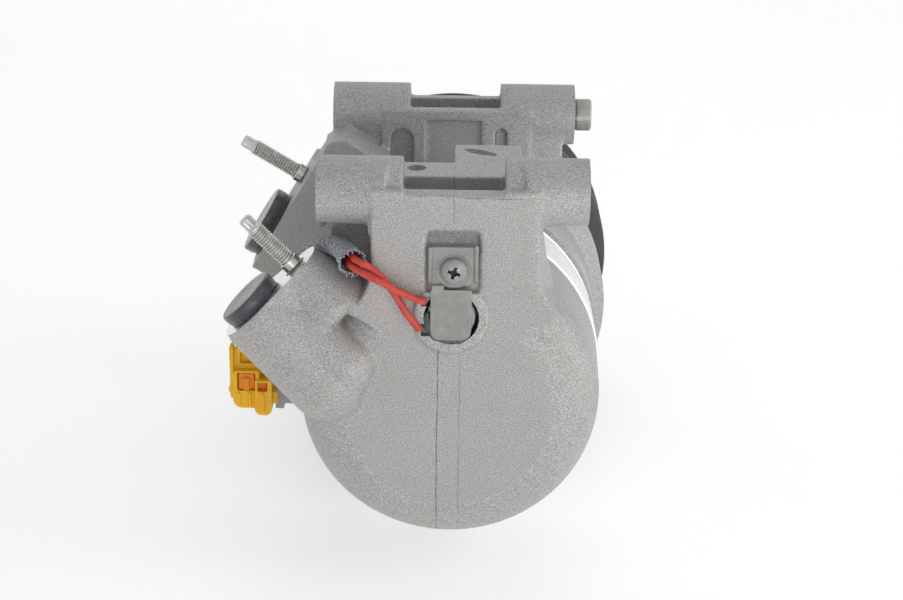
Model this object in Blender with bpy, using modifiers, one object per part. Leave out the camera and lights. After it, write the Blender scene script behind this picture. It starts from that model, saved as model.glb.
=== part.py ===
"""Belt-driven scroll compressor for a car's air conditioning.

Metres, +Z up; dimensions are written in millimetres and scaled by MM. The
shaft runs along Y: the rear head's flat back face is at Y = 0 and the pulley
is at +Y. X is across the mounting lugs. A place "at" is an (x, z) pair and a
span is a (start, end) pair.
"""

import math
from collections import namedtuple

import bmesh
import bpy
from mathutils import Matrix, Vector

MM = 0.001
GAP = 0.3  # between neighbouring castings
DETAIL = 0.58  # share of the full number of sides on round pieces

# ---- case, by radius and Y ---------------------------------------------------
DOME_FLAT_R = 34.0
DOME_FILLET = 18.0
DOME_R = DOME_FLAT_R + DOME_FILLET
HEAD_R = 53.0
HEAD_END = 44.0
SHELL_R = 53.4
SHELL_START = HEAD_END + GAP
SHELL_END = 72.0
BARREL_R = 54.5
BARREL_START = SHELL_END + GAP
BARREL_END = 99.0
FLANGE_R = 59.5
FLANGE_END = 125.0
CASE_BORE_R = 44.0
CHAMBER_R = 38.0
NOSE_R = 17.5
NOSE_END = 180.0
CASE_STEPS = 56

# ---- mounting lugs, neck and shelf -------------------------------------------
LUG_R = 11.3
LUG_HOLE_R = 4.25
LUG_Z = 75.0
LUG_LEFT_X = (-45.3017, -16.5)
LUG_RIGHT_X = (17.5, 45.3)
LUG_BORE_X = (-60, 60)
POCKET_X = (LUG_LEFT_X[1], LUG_RIGHT_X[0])  # the space between the lugs
CUT_TOP = 95.0  # clear above the lugs
REAR_LUG_Y = 14.0
FRONT_LUG_Y = 110.0
REAR_POCKET_Y = (7.0, 24.5)
FRONT_POCKET_Y = (103.5, 117.0)
NECK_X = (-27.0, 29.0)
NECK_TOP = 70
NECK_FILLET_Z = 52
NECK_FILLET = 20
LIP_TOP = 79.0
SHELF_TOP = 76.5
SHELF_BASE = SHELF_TOP - 4.5
SHELF_SLOT = (9.5, 53.5, SHELF_TOP)

# ---- discharge and suction ports -----------------------------------------------
# direction: out of the flat face; face: its distance from the shaft;
# port_at, stud_at: places up the face, square to the direction and the shaft.
Port = namedtuple("Port", "direction face y port_at stud_at")
SUCTION_ANGLE = math.radians(31.0)
DISCHARGE = Port(
    direction=(-math.sqrt(0.5), 0.0, math.sqrt(0.5)), face=71.5, y=11.0, port_at=-23.1, stud_at=-3.5
)
SUCTION = Port(
    direction=(-math.cos(SUCTION_ANGLE), 0.0, math.sin(SUCTION_ANGLE)),
    face=75.8, y=95.0, port_at=-5.9, stud_at=17.4,
)
DISCHARGE_PORT_R = 14.0
DISCHARGE_STUD_R = 9.3
PORT_SEAT_DEPTH = 7.0
TAP_R = 3.35

# ---- thermal protector and its clamp ---------------------------------------------
RECESS_Z = 35.0
RECESS_R = 9.3
SCREW_AT = (0.7, 52.0)

# ---- scrolls ----------------------------------------------------------------------
SCROLL_PITCH = 16.0
SCROLL_BASE = SCROLL_PITCH / math.tau  # radius of the involute's base circle
SCROLL_WALL = 4.0
SCROLL_STEPS = 48
SCROLL_START = 1.2 * math.pi
ORBIT_R = 3.5
ORBIT_ANGLE = math.radians(90.0)  # crank pin points up at rest
ORBIT_AT = (ORBIT_R * math.cos(ORBIT_ANGLE), ORBIT_R * math.sin(ORBIT_ANGLE))
ORBIT_CENTRE = (ORBIT_AT[0], 0, ORBIT_AT[1])
PLATE_FRONT = 54.0  # fixed end plate's inner face
TIP_Y = 78.0
TIP_GAP = 0.4
REED_AT = (0, -20)  # reed screw
REED_HOLE_R = 2.2


def on_circle(radius, count, first):
    """Evenly spaced (x, z) places on a circle about the shaft."""
    angles = [math.radians(first + 360.0 * i / count) for i in range(count)]
    return [(radius * math.cos(a), radius * math.sin(a)) for a in angles]


BOLT_PLACES = on_circle(49.1, 5, 25.0)
BOLT_HOLE_R = 2.75
PIN_PLACES = on_circle(31.0, 4, 45.0)
PIN_R = 2.5
PIN_HOLE_R = 2.8
PIN_HOLE_Y = (80, 95)
ORBIT_POCKET_R = PIN_R + ORBIT_R + 0.4

# ---- clutch and pulley --------------------------------------------------------------
PULLEY_R = 63.5
PULLEY_START = 159.0
PULLEY_END = 183.0
GROOVE_COUNT = 6
GROOVE_START = 161.6
GROOVE_PITCH = 3.3
GROOVE_WIDTH = 3.1
GROOVE_DEPTH = 2.6
ARMATURE_START = PULLEY_END + 0.5 + 0.1
ARMATURE_THICK = 4.0
SPRING_R = 28.0  # leaf springs' distance from the shaft
SPRING_HALF = (5.0, 13.5, 0.25)  # half sizes: across, radial, thick
BALL_COUNT = 9
BALL_CIRCLE_R = 22.6

# ---- wiring, tables of (x, y, z) ----------------------------------------------------
SLEEVE_R = 3.3
SLEEVE_BORE_R = 2.85
SLEEVE_POINTS = [
    (-68, 48, 14), (-64, 41, 25), (-57, 34.0, 35.5),
    (-49.5, 27, 46.5), (-41, 17.6, 53.4), (-33.0, 0.5, 54.6),
]
WIRE_R = 1.1
WIRE_OFFSET = 1.3  # protector wires' distance from the sleeve's centre line
WIRE_A_POINTS = [
    (-29.6, -3.6, 51.6), (-26.0, -5.0, 50.2), (-22.6, -5.1, 48.6),
    (-17.0, -4.2, 45.2), (-12.5, -3.4, 42.8), (-8.6, -3.1, 41.4),
]
WIRE_B_POINTS = [
    (-29.4, -3.0, 54.6), (-26.4, -2.4, 52.6), (-22.6, -2.4, 49.0),
    (-18.8, -2.5, 43.8), (-14.8, -3.0, 37.0), (-10.6, -3.0, 31.4),
]
COIL_LEAD_R = 1.6
COIL_LEAD_POINTS = [
    (-42.2, 156.9, -33.2), (-47.5, 150.0, -38.0), (-50.0, 136.0, -40.5), (-50.0, 118.0, -40.5),
    (-50.2, 98.0, -38.0), (-56.0, 78.0, -30.0), (-63.0, 64.0, -20.0), (-69.0, 58.4, -15.0),
]

# ---- scene -----------------------------------------------------------------------
for old in list(bpy.data.objects):
    bpy.data.objects.remove(old, do_unlink=True)
scene = bpy.context.scene
scene.unit_settings.system = "METRIC"
scene.unit_settings.scale_length = 1.0
parts = bpy.data.collections.new("scroll_compressor")
tools = bpy.data.collections.new("cutters")
scene.collection.children.link(parts)
scene.collection.children.link(tools)
tools.hide_render = True


# ---- materials -------------------------------------------------------------------
def material(name, colour, *, roughness, metallic):
    made = bpy.data.materials.new(name)
    made.use_nodes = True
    made.diffuse_color = (*colour, 1.0)
    shader = made.node_tree.nodes["Principled BSDF"]
    shader.inputs["Base Color"].default_value = (*colour, 1.0)
    shader.inputs["Roughness"].default_value = roughness
    shader.inputs["Metallic"].default_value = metallic
    return made


CAST = material("cast_aluminium", (0.42, 0.41, 0.39), roughness=0.55, metallic=0.6)
MACHINED = material("machined_aluminium", (0.78, 0.78, 0.80), roughness=0.25, metallic=1.0)
STEEL = material("bearing_steel", (0.55, 0.55, 0.56), roughness=0.28, metallic=1.0)
ZINC = material("zinc_plated_steel", (0.46, 0.49, 0.46), roughness=0.38, metallic=0.9)
BLACK = material("black_paint", (0.02, 0.02, 0.025), roughness=0.35, metallic=0.0)
RUBBER = material("black_rubber", (0.03, 0.03, 0.035), roughness=0.6, metallic=0.0)
RED = material("red_insulation", (0.62, 0.06, 0.04), roughness=0.45, metallic=0.0)
YELLOW = material("yellow_plastic", (0.95, 0.62, 0.02), roughness=0.35, metallic=0.0)
ORANGE = material("orange_plastic", (0.95, 0.30, 0.01), roughness=0.4, metallic=0.0)
GREY = material("grey_plastic", (0.36, 0.36, 0.35), roughness=0.5, metallic=0.0)
SEALANT = material("grey_sealant", (0.10, 0.11, 0.12), roughness=0.7, metallic=0.0)
SLEEVE = material("woven_sleeve", (0.16, 0.17, 0.19), roughness=0.8, metallic=0.0)
COIL_RESIN = material("coil_resin", (0.20, 0.09, 0.04), roughness=0.5, metallic=0.0)


# ---- objects and matrices -----------------------------------------------------------
def place(name, mesh, look=None, matrix=None):
    obj = bpy.data.objects.new(name, mesh)
    parts.objects.link(obj)
    if matrix is not None:
        obj.matrix_world = matrix
    if look is not None:
        mesh.materials.clear()
        mesh.materials.append(look)
    return obj


def smooth(obj, angle=35.0):
    obj.data.shade_smooth()
    obj.data.set_sharp_from_angle(angle=math.radians(angle))
    return obj


def along(axis, centre):
    """World matrix whose local Z runs along axis, at centre."""
    turn = Vector((0, 0, 1)).rotation_difference(Vector(axis).normalized())
    return Matrix.Translation(Vector(centre) * MM) @ turn.to_matrix().to_4x4()


def frame(x_axis, y_axis, z_axis, origin):
    """World matrix with the given local axes, at origin."""
    rows = zip(x_axis, y_axis, z_axis, [value * MM for value in origin])
    return Matrix((*rows, (0, 0, 0, 1)))


# ---- basic solids --------------------------------------------------------------------
def sides(count):
    """An even number of sides for a round piece; a hexagon stays one."""
    return count if count <= 8 else max(8, 2 * round(count * DETAIL / 2))


def cylinder(name, radius, length, centre, axis, seg, look=None, end_radius=None, turn=0.0):
    bm = bmesh.new()
    bmesh.ops.create_cone(
        bm,
        cap_ends=True,
        segments=sides(seg),
        radius1=radius * MM,
        radius2=(radius if end_radius is None else end_radius) * MM,
        depth=length * MM,
        matrix=Matrix.Rotation(turn, 4, "Z"),
    )
    mesh = bpy.data.meshes.new(name)
    bm.to_mesh(mesh)
    bm.free()
    return smooth(place(name, mesh, look, along(axis, centre)))


def rod(name, radius, start, end, seg, look=None, turn=0.0):
    start, end = Vector(start), Vector(end)
    axis = end - start
    return cylinder(name, radius, axis.length, (start + end) / 2, axis, seg, look, turn=turn)


def y_rod(name, radius, at, span, seg, look=None):
    """A rod parallel to the shaft."""
    x, z = at
    return rod(name, radius, (x, span[0], z), (x, span[1], z), seg, look)


def lug_rod(name, radius, span, y, seg, look=None):
    """A rod on a lug's own axis, parallel to X."""
    return rod(name, radius, (span[0], y, LUG_Z), (span[1], y, LUG_Z), seg, look)


def y_rods(label, radius, places, span, seg):
    return [y_rod(f"{label}_{i}", radius, at, span, seg) for i, at in enumerate(places)]


def bolt_holes(label, span):
    return y_rods(label, BOLT_HOLE_R, BOLT_PLACES, span, 12)


def box(name, low, high, look=None, bevel=0.0):
    bm = bmesh.new()
    bmesh.ops.create_cube(bm, size=1.0)
    size = [(h - l) * MM for l, h in zip(low, high)]
    bmesh.ops.scale(bm, vec=size, verts=bm.verts)
    mesh = bpy.data.meshes.new(name)
    bm.to_mesh(mesh)
    bm.free()
    centre = Vector([(l + h) / 2 for l, h in zip(low, high)]) * MM
    obj = place(name, mesh, look, Matrix.Translation(centre))
    if bevel:
        edge = obj.modifiers.new("edge", "BEVEL")
        edge.width = bevel * MM
        edge.segments = 2
        edge.limit_method = "ANGLE"
    return obj


def turned(name, profile, look=None, steps=48, closed=False, centre=(0, 0, 0), axis=(0, 1, 0)):
    """(radius, y) points turned about the axis. An open profile starts and
    ends on the axis; a closed one is a ring's section."""
    mesh = bpy.data.meshes.new(name)
    verts = [(radius * MM, 0.0, y * MM) for radius, y in profile]
    edges = [(i, i + 1) for i in range(len(verts) - 1)]
    if closed:
        edges.append((len(verts) - 1, 0))
    mesh.from_pydata(verts, edges, [])
    obj = place(name, mesh, look, along(axis, centre))
    screw = obj.modifiers.new("turn", "SCREW")
    screw.axis = "Z"
    screw.angle = math.tau
    screw.steps = sides(steps)
    screw.render_steps = sides(steps)
    screw.use_merge_vertices = True
    screw.merge_threshold = 0.00001
    screw.use_smooth_shade = True
    return obj


def ring(name, inner, outer, span, look, steps=32, centre=(0, 0, 0)):
    start, end = span
    profile = [(outer, end), (outer, start), (inner, start), (inner, end)]
    return turned(name, profile, look, steps, True, centre)


# ---- baking and Booleans ----------------------------------------------------------------
def bake(obj):
    """Replaces the object by its evaluated shape, as a welded plain mesh."""
    bpy.context.view_layer.update()
    graph = bpy.context.evaluated_depsgraph_get()
    mesh = bpy.data.meshes.new_from_object(obj.evaluated_get(graph))
    name, matrix = obj.name, obj.matrix_world.copy()
    look = obj.data.materials[0] if obj.data.materials else None
    bm = bmesh.new()
    bm.from_mesh(mesh)
    bmesh.ops.remove_doubles(bm, verts=bm.verts, dist=0.000001)
    bmesh.ops.recalc_face_normals(bm, faces=bm.faces)
    bm.to_mesh(mesh)
    bm.free()
    bpy.data.objects.remove(obj, do_unlink=True)
    mesh.name = name
    return place(name, mesh, look, matrix)


def combine(obj, helpers, operation):
    for helper in helpers:
        parts.objects.unlink(helper)
        tools.objects.link(helper)
        helper.hide_render = True
        helper.display_type = "WIRE"
        change = obj.modifiers.new(operation.lower(), "BOOLEAN")
        change.operation = operation
        change.solver = "EXACT"
        change.object = helper


def carve(obj, adds=(), cuts=(), angle=35.0):
    """Joins the adds, takes away the cuts, then bakes and shades the result."""
    combine(obj, adds, "UNION")
    combine(obj, cuts, "DIFFERENCE")
    made = bake(obj)
    bm = bmesh.new()
    bm.from_mesh(made.data)
    flat = math.radians(0.2)
    bmesh.ops.dissolve_limit(bm, angle_limit=flat, verts=bm.verts, edges=bm.edges)
    bmesh.ops.triangulate(bm, faces=[face for face in bm.faces if len(face.verts) > 4])
    bm.to_mesh(made.data)
    bm.free()
    smooth(made, angle)


# ---- curves, plates and wires --------------------------------------------------------------
def poly_curve(name, points, dimensions):
    curve = bpy.data.curves.new(name, "CURVE")
    curve.dimensions = dimensions
    spline = curve.splines.new("POLY")
    spline.points.add(len(points) - 1)
    for point, (x, y, z) in zip(spline.points, points):
        point.co = (x * MM, y * MM, z * MM, 1.0)
    obj = bpy.data.objects.new(name, curve)
    parts.objects.link(obj)
    return obj


def plate(name, outline, half, matrix):
    """A flat outline in local XY, half either side of it."""
    obj = poly_curve(name, [(x, y, 0.0) for x, y in outline], "2D")
    obj.data.fill_mode = "BOTH"
    obj.data.extrude = half * MM
    obj.data.splines[0].use_cyclic_u = True
    made = bake(obj)
    made.matrix_world = matrix
    return smooth(made)


def xz_plate(name, outline, y0, y1):
    """An outline in world X, Z standing from y0 to y1."""
    matrix = frame((1, 0, 0), (0, 0, 1), (0, -1, 0), (0, (y0 + y1) / 2, 0))
    return plate(name, outline, (y1 - y0) / 2, matrix)


def wire(name, points, radius, look):
    obj = poly_curve(name, points, "3D")
    obj.data.bevel_depth = radius * MM
    obj.data.bevel_resolution = 2
    obj.data.use_fill_caps = True
    obj.data.materials.append(look)
    return obj


def bend(points, steps):
    """A smooth (Catmull-Rom) path through the points."""
    path = []
    ends = [points[0]] + list(points) + [points[-1]]
    for i in range(len(points) - 1):
        p0, p1, p2, p3 = (Vector(ends[i + k]) for k in range(4))
        for step in range(steps):
            t = step / steps
            path.append(
                0.5 * (2 * p1 + (p2 - p0) * t + (2 * p0 - 5 * p1 + 4 * p2 - p3) * t * t
                       + (3 * p1 - p0 - 3 * p2 + p3) * t ** 3)
            )
    path.append(Vector(points[-1]))
    return path


def longer(path, by):
    """The path run on straight past both ends."""
    first = path[0] + (path[0] - path[1]).normalized() * by
    last = path[-1] + (path[-1] - path[-2]).normalized() * by
    return [first] + path + [last]


def beside(path, by):
    """The path moved sideways, square to itself and to Y."""
    moved = []
    for i, point in enumerate(path):
        heading = (path[min(i + 1, len(path) - 1)] - path[max(i - 1, 0)]).normalized()
        moved.append(point + heading.cross(Vector((0, 1, 0))).normalized() * by)
    return moved


def arc(centre_x, centre_y, radius, start, end, count):
    """Points on an arc, angles in degrees."""
    angles = [math.radians(start + (end - start) * i / count) for i in range(count + 1)]
    return [
        (centre_x + radius * math.cos(a), centre_y + radius * math.sin(a)) for a in angles
    ]


# ---- features shared by several pieces --------------------------------------------------------
def port_up(port):
    """The direction up a port's face, square to the shaft."""
    return Vector((port.direction[2], 0.0, -port.direction[0]))


def port_point(port, at, height):
    """A point height out from the shaft and at up the face."""
    return Vector(port.direction) * height + port_up(port) * at + Vector((0, port.y, 0))


def port_rod(name, radius, port, at, start, end, seg, turn=0.0):
    ends = port_point(port, at, start), port_point(port, at, end)
    return rod(name, radius, *ends, seg, turn=turn)


def port_cuts(label, port, bore_radius, bore_start, seat_radius, tap_depth, end, turn=0.0):
    """Port bore, the wider seat at its mouth, and the stud's tapped hole."""
    seat_start = port.face - PORT_SEAT_DEPTH
    tap_start = port.face - tap_depth
    return [
        port_rod(f"{label}_bore", bore_radius, port, port.port_at, bore_start, end, 20),
        port_rod(f"{label}_seat", seat_radius, port, port.port_at, seat_start, end, 24),
        port_rod(f"{label}_tap", TAP_R, port, port.stud_at, tap_start, end, 14, turn),
    ]


def lug_pair(label, y):
    return [
        lug_rod(f"{label}_left", LUG_R, LUG_LEFT_X, y, 32),
        lug_rod(f"{label}_right", LUG_R, LUG_RIGHT_X, y, 32),
    ]


def spiral(turn, offset, end):
    """Points on an involute of the scroll's base circle."""
    points = []
    for i in range(SCROLL_STEPS + 1):
        a = SCROLL_START + (end - SCROLL_START) * i / SCROLL_STEPS
        x = SCROLL_BASE * (math.cos(a) + (a + offset) * math.sin(a))
        y = SCROLL_BASE * (math.sin(a) - (a + offset) * math.cos(a))
        points.append((
            x * math.cos(turn) - y * math.sin(turn),
            x * math.sin(turn) + y * math.cos(turn),
        ))
    return points


def scroll_wall(name, turn, y0, y1, end, at=(0.0, 0.0)):
    half = SCROLL_WALL / 2 / SCROLL_BASE
    outline = spiral(turn, half, end) + spiral(turn, -half, end)[::-1]
    return xz_plate(name, [(x + at[0], z + at[1]) for x, z in outline], y0, y1)


# ---- rear head -----------------------------------------------------------------------------
def neck():
    """The head's raised middle, flared at both sides where it meets the dome."""
    left, right = NECK_X
    outline = [
        (right, NECK_TOP), (right, NECK_FILLET_Z),
        *arc(right + NECK_FILLET, NECK_FILLET_Z, NECK_FILLET, 180, 235, 5)[1:],
        (0, 15),
        *arc(left - NECK_FILLET, NECK_FILLET_Z, NECK_FILLET, 305, 360, 5)[:-1],
        (left, NECK_FILLET_Z), (left, NECK_TOP),
    ]
    return xz_plate("neck", outline, 0.0, 26.0)


def discharge_block():
    """Flat-faced block round the port and stud circles."""
    port, length = DISCHARGE, 22.5
    lean = math.degrees(
        math.asin((DISCHARGE_PORT_R - DISCHARGE_STUD_R) / (port.stud_at - port.port_at))
    )
    outline = arc(port.port_at, 0, DISCHARGE_PORT_R, 90 - lean, 270 + lean, 12)
    outline += arc(port.stud_at, 0, DISCHARGE_STUD_R, 270 + lean, 450 - lean, 12)
    out, up = Vector(port.direction), port_up(port)
    middle = out * (port.face - length / 2) + Vector((0, port.y, 0))
    return plate("discharge_block", outline, length / 2, frame(up, out.cross(up), out, middle))


def discharge_lobe():
    """Round swelling under the port, stepping down towards the shaft."""
    port, at = DISCHARGE, DISCHARGE.port_at
    out, radius = port.direction, DISCHARGE_PORT_R
    shoulder, tip = port_point(port, at, 30.5), port_point(port, at, 24.5)
    return [
        port_rod("discharge_lobe", radius + 0.5, port, at, 34.0, 52.0, 28),
        cylinder("lobe_shoulder", 11.3, 8.0, shoulder, out, 28, end_radius=radius + 0.4),
        cylinder("lobe_end", 6.0, 5.0, tip, out, 28, end_radius=11.4),
    ]


def shelf_slot():
    """Slanting slot through the shelf: a stretched cylinder."""
    slot = cylinder("shelf_slot", 2.5, 20.0, SHELF_SLOT, (0, 0, 1), 16)
    slot.matrix_world = (
        Matrix.Translation(Vector(SHELF_SLOT) * MM)
        @ Matrix.Rotation(math.radians(-32), 4, "Z")
        @ Matrix.Diagonal((2.7, 1, 1, 1))
    )
    return slot


def rear_head():
    dome = [(0, HEAD_END), (HEAD_R, HEAD_END), (DOME_R, DOME_FILLET)]
    for degrees in (15, 30, 45, 60, 75, 90):
        a = math.radians(degrees)
        dome.append((
            DOME_FLAT_R + DOME_FILLET * math.cos(a),
            DOME_FILLET - DOME_FILLET * math.sin(a),
        ))
    dome.append((0, 0))
    head = turned("rear_head", dome, CAST, CASE_STEPS)
    pocket_start, pocket_end = REAR_POCKET_Y
    chamber = [
        (0, 50), (44.3, 50), (44.3, 42.4), (40.7, 42.4), (40.7, 46),
        (CHAMBER_R, 46), (CHAMBER_R, 20), (30, 16), (0, 16),
    ]
    adds = [
        neck(),
        box("neck_lip", (NECK_X[0], 0.0, 60.0), (NECK_X[1], pocket_start, LIP_TOP)),
        box("lug_web", (-28.0, 3.2, 62.0), (30.0, 25.0, 76.0)),
        *lug_pair("lug", REAR_LUG_Y),
        box("shelf_wide", (-25.0, 20.0, SHELF_BASE), (26.0, 41.0, SHELF_TOP)),
        box("shelf_long", (0.5, 40.0, SHELF_BASE), (24.0, 63.0, SHELF_TOP)),
        box("shelf_post", (4.0, 24.0, 50.0), (12.0, 43.0, 74.0)),
        discharge_block(),
        *discharge_lobe(),
        y_rod("recess_boss", 12.8, (0, RECESS_Z), (-1.6, 8), 32),
    ]
    cuts = [
        box("pocket", (POCKET_X[0], pocket_start, 66.0), (POCKET_X[1], pocket_end, CUT_TOP)),
        box("notch", (POCKET_X[0], -5.0, LIP_TOP), (POCKET_X[1], pocket_end, CUT_TOP)),
        lug_rod("lug_bore", LUG_HOLE_R, LUG_BORE_X, REAR_LUG_Y, 20),
        rod("shelf_hole", 3.3, (-12.6, 34, 68), (-12.6, 34, 80), 16),
        y_rod("recess", RECESS_R, (0, RECESS_Z), (-8, 11.0), 32),
        box("clamp_seat", (-9.0, -6.0, 26.0), (9.8, 0.9, 62.0)),
        y_rod("clamp_hole", 2.3, SCREW_AT, (-2, 12), 12),
        turned("chamber", chamber, steps=CASE_STEPS),
        *port_cuts(
            "discharge", DISCHARGE, bore_radius=6.0, bore_start=29.0, seat_radius=8.0,
            tap_depth=12.6, end=80.0, turn=0.2,
        ),
        shelf_slot(),
        *bolt_holes("head_bolt_hole", (30.0, 60.0)),
    ]
    carve(head, adds, cuts)


# ---- fixed scroll ---------------------------------------------------------------------------
def fixed_scroll():
    profile = [
        (0, PLATE_FRONT), (CASE_BORE_R, PLATE_FRONT), (CASE_BORE_R, SHELL_END),
        (SHELL_R, SHELL_END), (SHELL_R, SHELL_START), (0, SHELL_START),
    ]
    groove_floor = SHELL_END - 1.4
    groove = [(46.0, 80), (46.0, groove_floor), (44.5, groove_floor), (44.5, 80)]
    scroll = turned("fixed_scroll", profile, MACHINED, CASE_STEPS)
    adds = [scroll_wall("fixed_wall", 0.0, PLATE_FRONT - 1.0, TIP_Y, 4.9 * math.pi)]
    cuts = [
        *bolt_holes("scroll_bolt_hole", (40.0, 80.0)),
        y_rod("outlet", 3.2, (0, 0), (40, 60), 16),
        y_rod("reed_tap", REED_HOLE_R, REED_AT, (40, 50.5), 12),
        turned("front_groove", groove, steps=CASE_STEPS, closed=True),
    ]
    carve(scroll, adds, cuts)


# ---- front housing ---------------------------------------------------------------------------
def front_housing():
    nose = NOSE_R - 0.1
    profile = [
        (0, NOSE_END), (nose, NOSE_END), (nose, 156.0), (27.0, 156.0), (27.0, 149.0),
        (48.0, 143.0), (56.5, 128.0), (FLANGE_R, FLANGE_END - 3), (FLANGE_R, 103.0),
        (BARREL_R, BARREL_END), (BARREL_R, BARREL_START), (0, BARREL_START),
    ]
    # (x, z) outline
    suction = [
        (-75.0, 22.3), (-47.2, 68.8), (-44.0, 71.5), (-40.0, 72.5), (-20.0, 60.0),
        (-20.0, 45.2), (-36.0, 32.0), (-40.0, 5.0), (-48.6, 6.6),
    ]
    rooms = [
        (0, 200), (12.8, 200), (12.8, 122), (20.3, 122), (20.3, 110), (26, 110), (26, 87.6),
        (CASE_BORE_R, 87.6), (CASE_BORE_R, 60), (0, 60),
    ]
    pocket_start, pocket_end = FRONT_POCKET_Y
    left, right = POCKET_X
    housing = turned("front_housing", profile, CAST, CASE_STEPS)
    adds = [
        *lug_pair("front_lug", FRONT_LUG_Y),
        box("front_lip", (NECK_X[0], 98.8, 50.0), (NECK_X[1], pocket_start, LIP_TOP)),
        box("front_far_lip", (NECK_X[0], pocket_end, 50.0), (NECK_X[1], 121.0, 80.0)),
        box("front_web", (-43.0, 100.2, 40.0), (41.0, 119.5, 71.0)),
        xz_plate("suction_block", suction, 80.0, 110.0),
    ]
    cuts = [
        box("front_pocket", (left, pocket_start, 60.0), (right, pocket_end, CUT_TOP)),
        box("front_notch", (left, 90.0, LIP_TOP), (right, 130.0, CUT_TOP)),
        lug_rod("front_lug_bore", LUG_HOLE_R, LUG_BORE_X, FRONT_LUG_Y, 20),
        lug_rod("dowel_bore", 6.3, (35, 60), FRONT_LUG_Y, 20),
        box("arch_pocket_left", (-23.8, 90.0, 57.0), (-15.2, 102.0, 70.0)),
        box("wide_pocket", (-10.5, 90.0, 57.0), (10.5, 101.4, 75.0)),
        box("arch_pocket_right", (15.5, 90.0, 57.0), (20.0, 102.0, 72.0)),
        *port_cuts(
            "suction", SUCTION, bore_radius=8.5, bore_start=20.0, seat_radius=10.0,
            tap_depth=13.0, end=90.0,
        ),
        turned("shaft_rooms", rooms, steps=CASE_STEPS),
        *bolt_holes("house_bolt_hole", (60.0, 130.0)),
        *y_rods("bolt_seat", 5.2, BOLT_PLACES, (117.5, 160), 14),
        *y_rods("pin_hole", PIN_HOLE_R, PIN_PLACES, PIN_HOLE_Y, 12),
    ]
    carve(housing, adds, cuts)


# ---- hidden mechanism ---------------------------------------------------------------------------
def o_ring(name, radius, section, y):
    angles = [math.radians(degrees) for degrees in range(-30, 330, 60)]
    points = [(radius + section * math.cos(a), y - section * math.sin(a)) for a in angles]
    turned(name, points, RUBBER, CASE_STEPS, closed=True)


def reed_valve():
    """Reed and stop on the rear of the fixed plate, over the outlet."""
    reed = box("discharge_reed", (-4.5, 43.5, -23.0), (4.5, 43.9, 4.5), STEEL)
    carve(reed, cuts=[y_rod("reed_hole", REED_HOLE_R, REED_AT, (40, 46), 12)])
    stop = box("reed_stop", (-4.0, 41.7, -23.0), (4.0, 43.2, 4.0), ZINC)
    carve(stop, cuts=[y_rod("stop_hole", REED_HOLE_R, REED_AT, (40, 46), 12)])
    screw = [(0, 50.0), (1.9, 50.0), (1.9, 41.4), (3.8, 41.4), (3.4, 38.8), (0, 38.8)]
    turned("reed_screw", screw, ZINC, 16, centre=(REED_AT[0], 0, REED_AT[1]))


def orbiting_scroll():
    """Moving scroll, with its bearing and the bush on the crank pin."""
    plate_rear = TIP_Y + TIP_GAP
    profile = [
        (0, 86.5), (11.0, 86.5), (11.0, 98.0), (14.0, 98.0), (14.0, 85.0), (40.0, 85.0),
        (40.0, plate_rear), (0, plate_rear),
    ]
    scroll = turned("orbiting_scroll", profile, MACHINED, 48, centre=ORBIT_CENTRE)
    wall_start = PLATE_FRONT + TIP_GAP
    wall = scroll_wall("orbit_wall", math.pi, wall_start, TIP_Y + 1.0, 4.55 * math.pi, ORBIT_AT)
    places = [(x + ORBIT_AT[0], z + ORBIT_AT[1]) for x, z in PIN_PLACES]
    carve(scroll, [wall], y_rods("orbit_pocket", ORBIT_POCKET_R, places, (81.3, 90), 20))
    ring("orbit_bearing", 8.4, 10.7, (86.9, 97.6), STEEL, 28, ORBIT_CENTRE)
    ring("eccentric_bush", 3.8, 8.1, (86.9, 97.9), STEEL, 24, ORBIT_CENTRE)


def thrust_plate():
    """Thrust plate and the anti-rotation pins through it."""
    for i, at in enumerate(PIN_PLACES):
        y_rod(f"anti_rotation_pin_{i + 1}", PIN_R, at, (81.8, 94.7), 12, STEEL)
    thrust = ring("thrust_plate", 19.5, 43.7, (85.3, 87.3), STEEL, 40)
    carve(thrust, cuts=y_rods("thrust_hole", PIN_HOLE_R, PIN_PLACES, PIN_HOLE_Y, 12))


def drive_shaft():
    """Shaft with its crank pin, counterweight, bearings and seal."""
    profile = [
        (0, 195.0), (5.6, 195.0), (6.4, 194.2), (6.4, 181.0), (8.0, 181.0), (8.0, 122.0),
        (10.0, 122.0), (10.0, 109.7), (12.0, 109.7), (12.0, 103.5), (0, 103.5),
    ]
    shaft = turned("drive_shaft", profile, STEEL, 28)
    carve(shaft, [y_rod("crank_pin", 3.5, ORBIT_AT, (87.2, 105), 16)])
    weight = ring("counterweight", 12.3, 24.6, (103.6, 109.6), STEEL, 36)
    carve(weight, cuts=[box("weight_cut", (-30, 100, -3.0), (30, 115, 30))])
    ring("main_bearing", 10.3, 20.0, (110.3, 121.7), STEEL)
    ring("shaft_seal", 8.3, 12.5, (124.0, 131.0), RUBBER, 28)
    ring("seal_ring", 8.5, 12.5, (131.4, 132.6), ZINC, 28)
    ring("front_bearing", 8.3, 12.5, (162.0, 176.0), STEEL, 28)


def case_bolts():
    """Bolts that go in from the front and thread into the rear head."""
    profile = [
        (0, 123.5), (4.2, 123.5), (4.6, 123.0), (4.6, 117.9), (2.4, 117.9), (2.4, 31.0), (0, 31.0),
    ]
    for i, (x, z) in enumerate(BOLT_PLACES):
        turned(f"case_bolt_{i + 1}", profile, ZINC, 12, centre=(x, 0, z))


# ---- clutch and pulley -----------------------------------------------------------------------------
def field_coil():
    ring("coil_snap_ring", 17.8, 20.4, (158.8, 160.0), STEEL)
    profile = [
        (51.3, 174.0), (51.3, 156.3), (17.9, 156.3), (17.9, 158.4), (33.0, 158.4), (33.0, 174.0),
    ]
    turned("field_coil", profile, COIL_RESIN, 44, closed=True)


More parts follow.
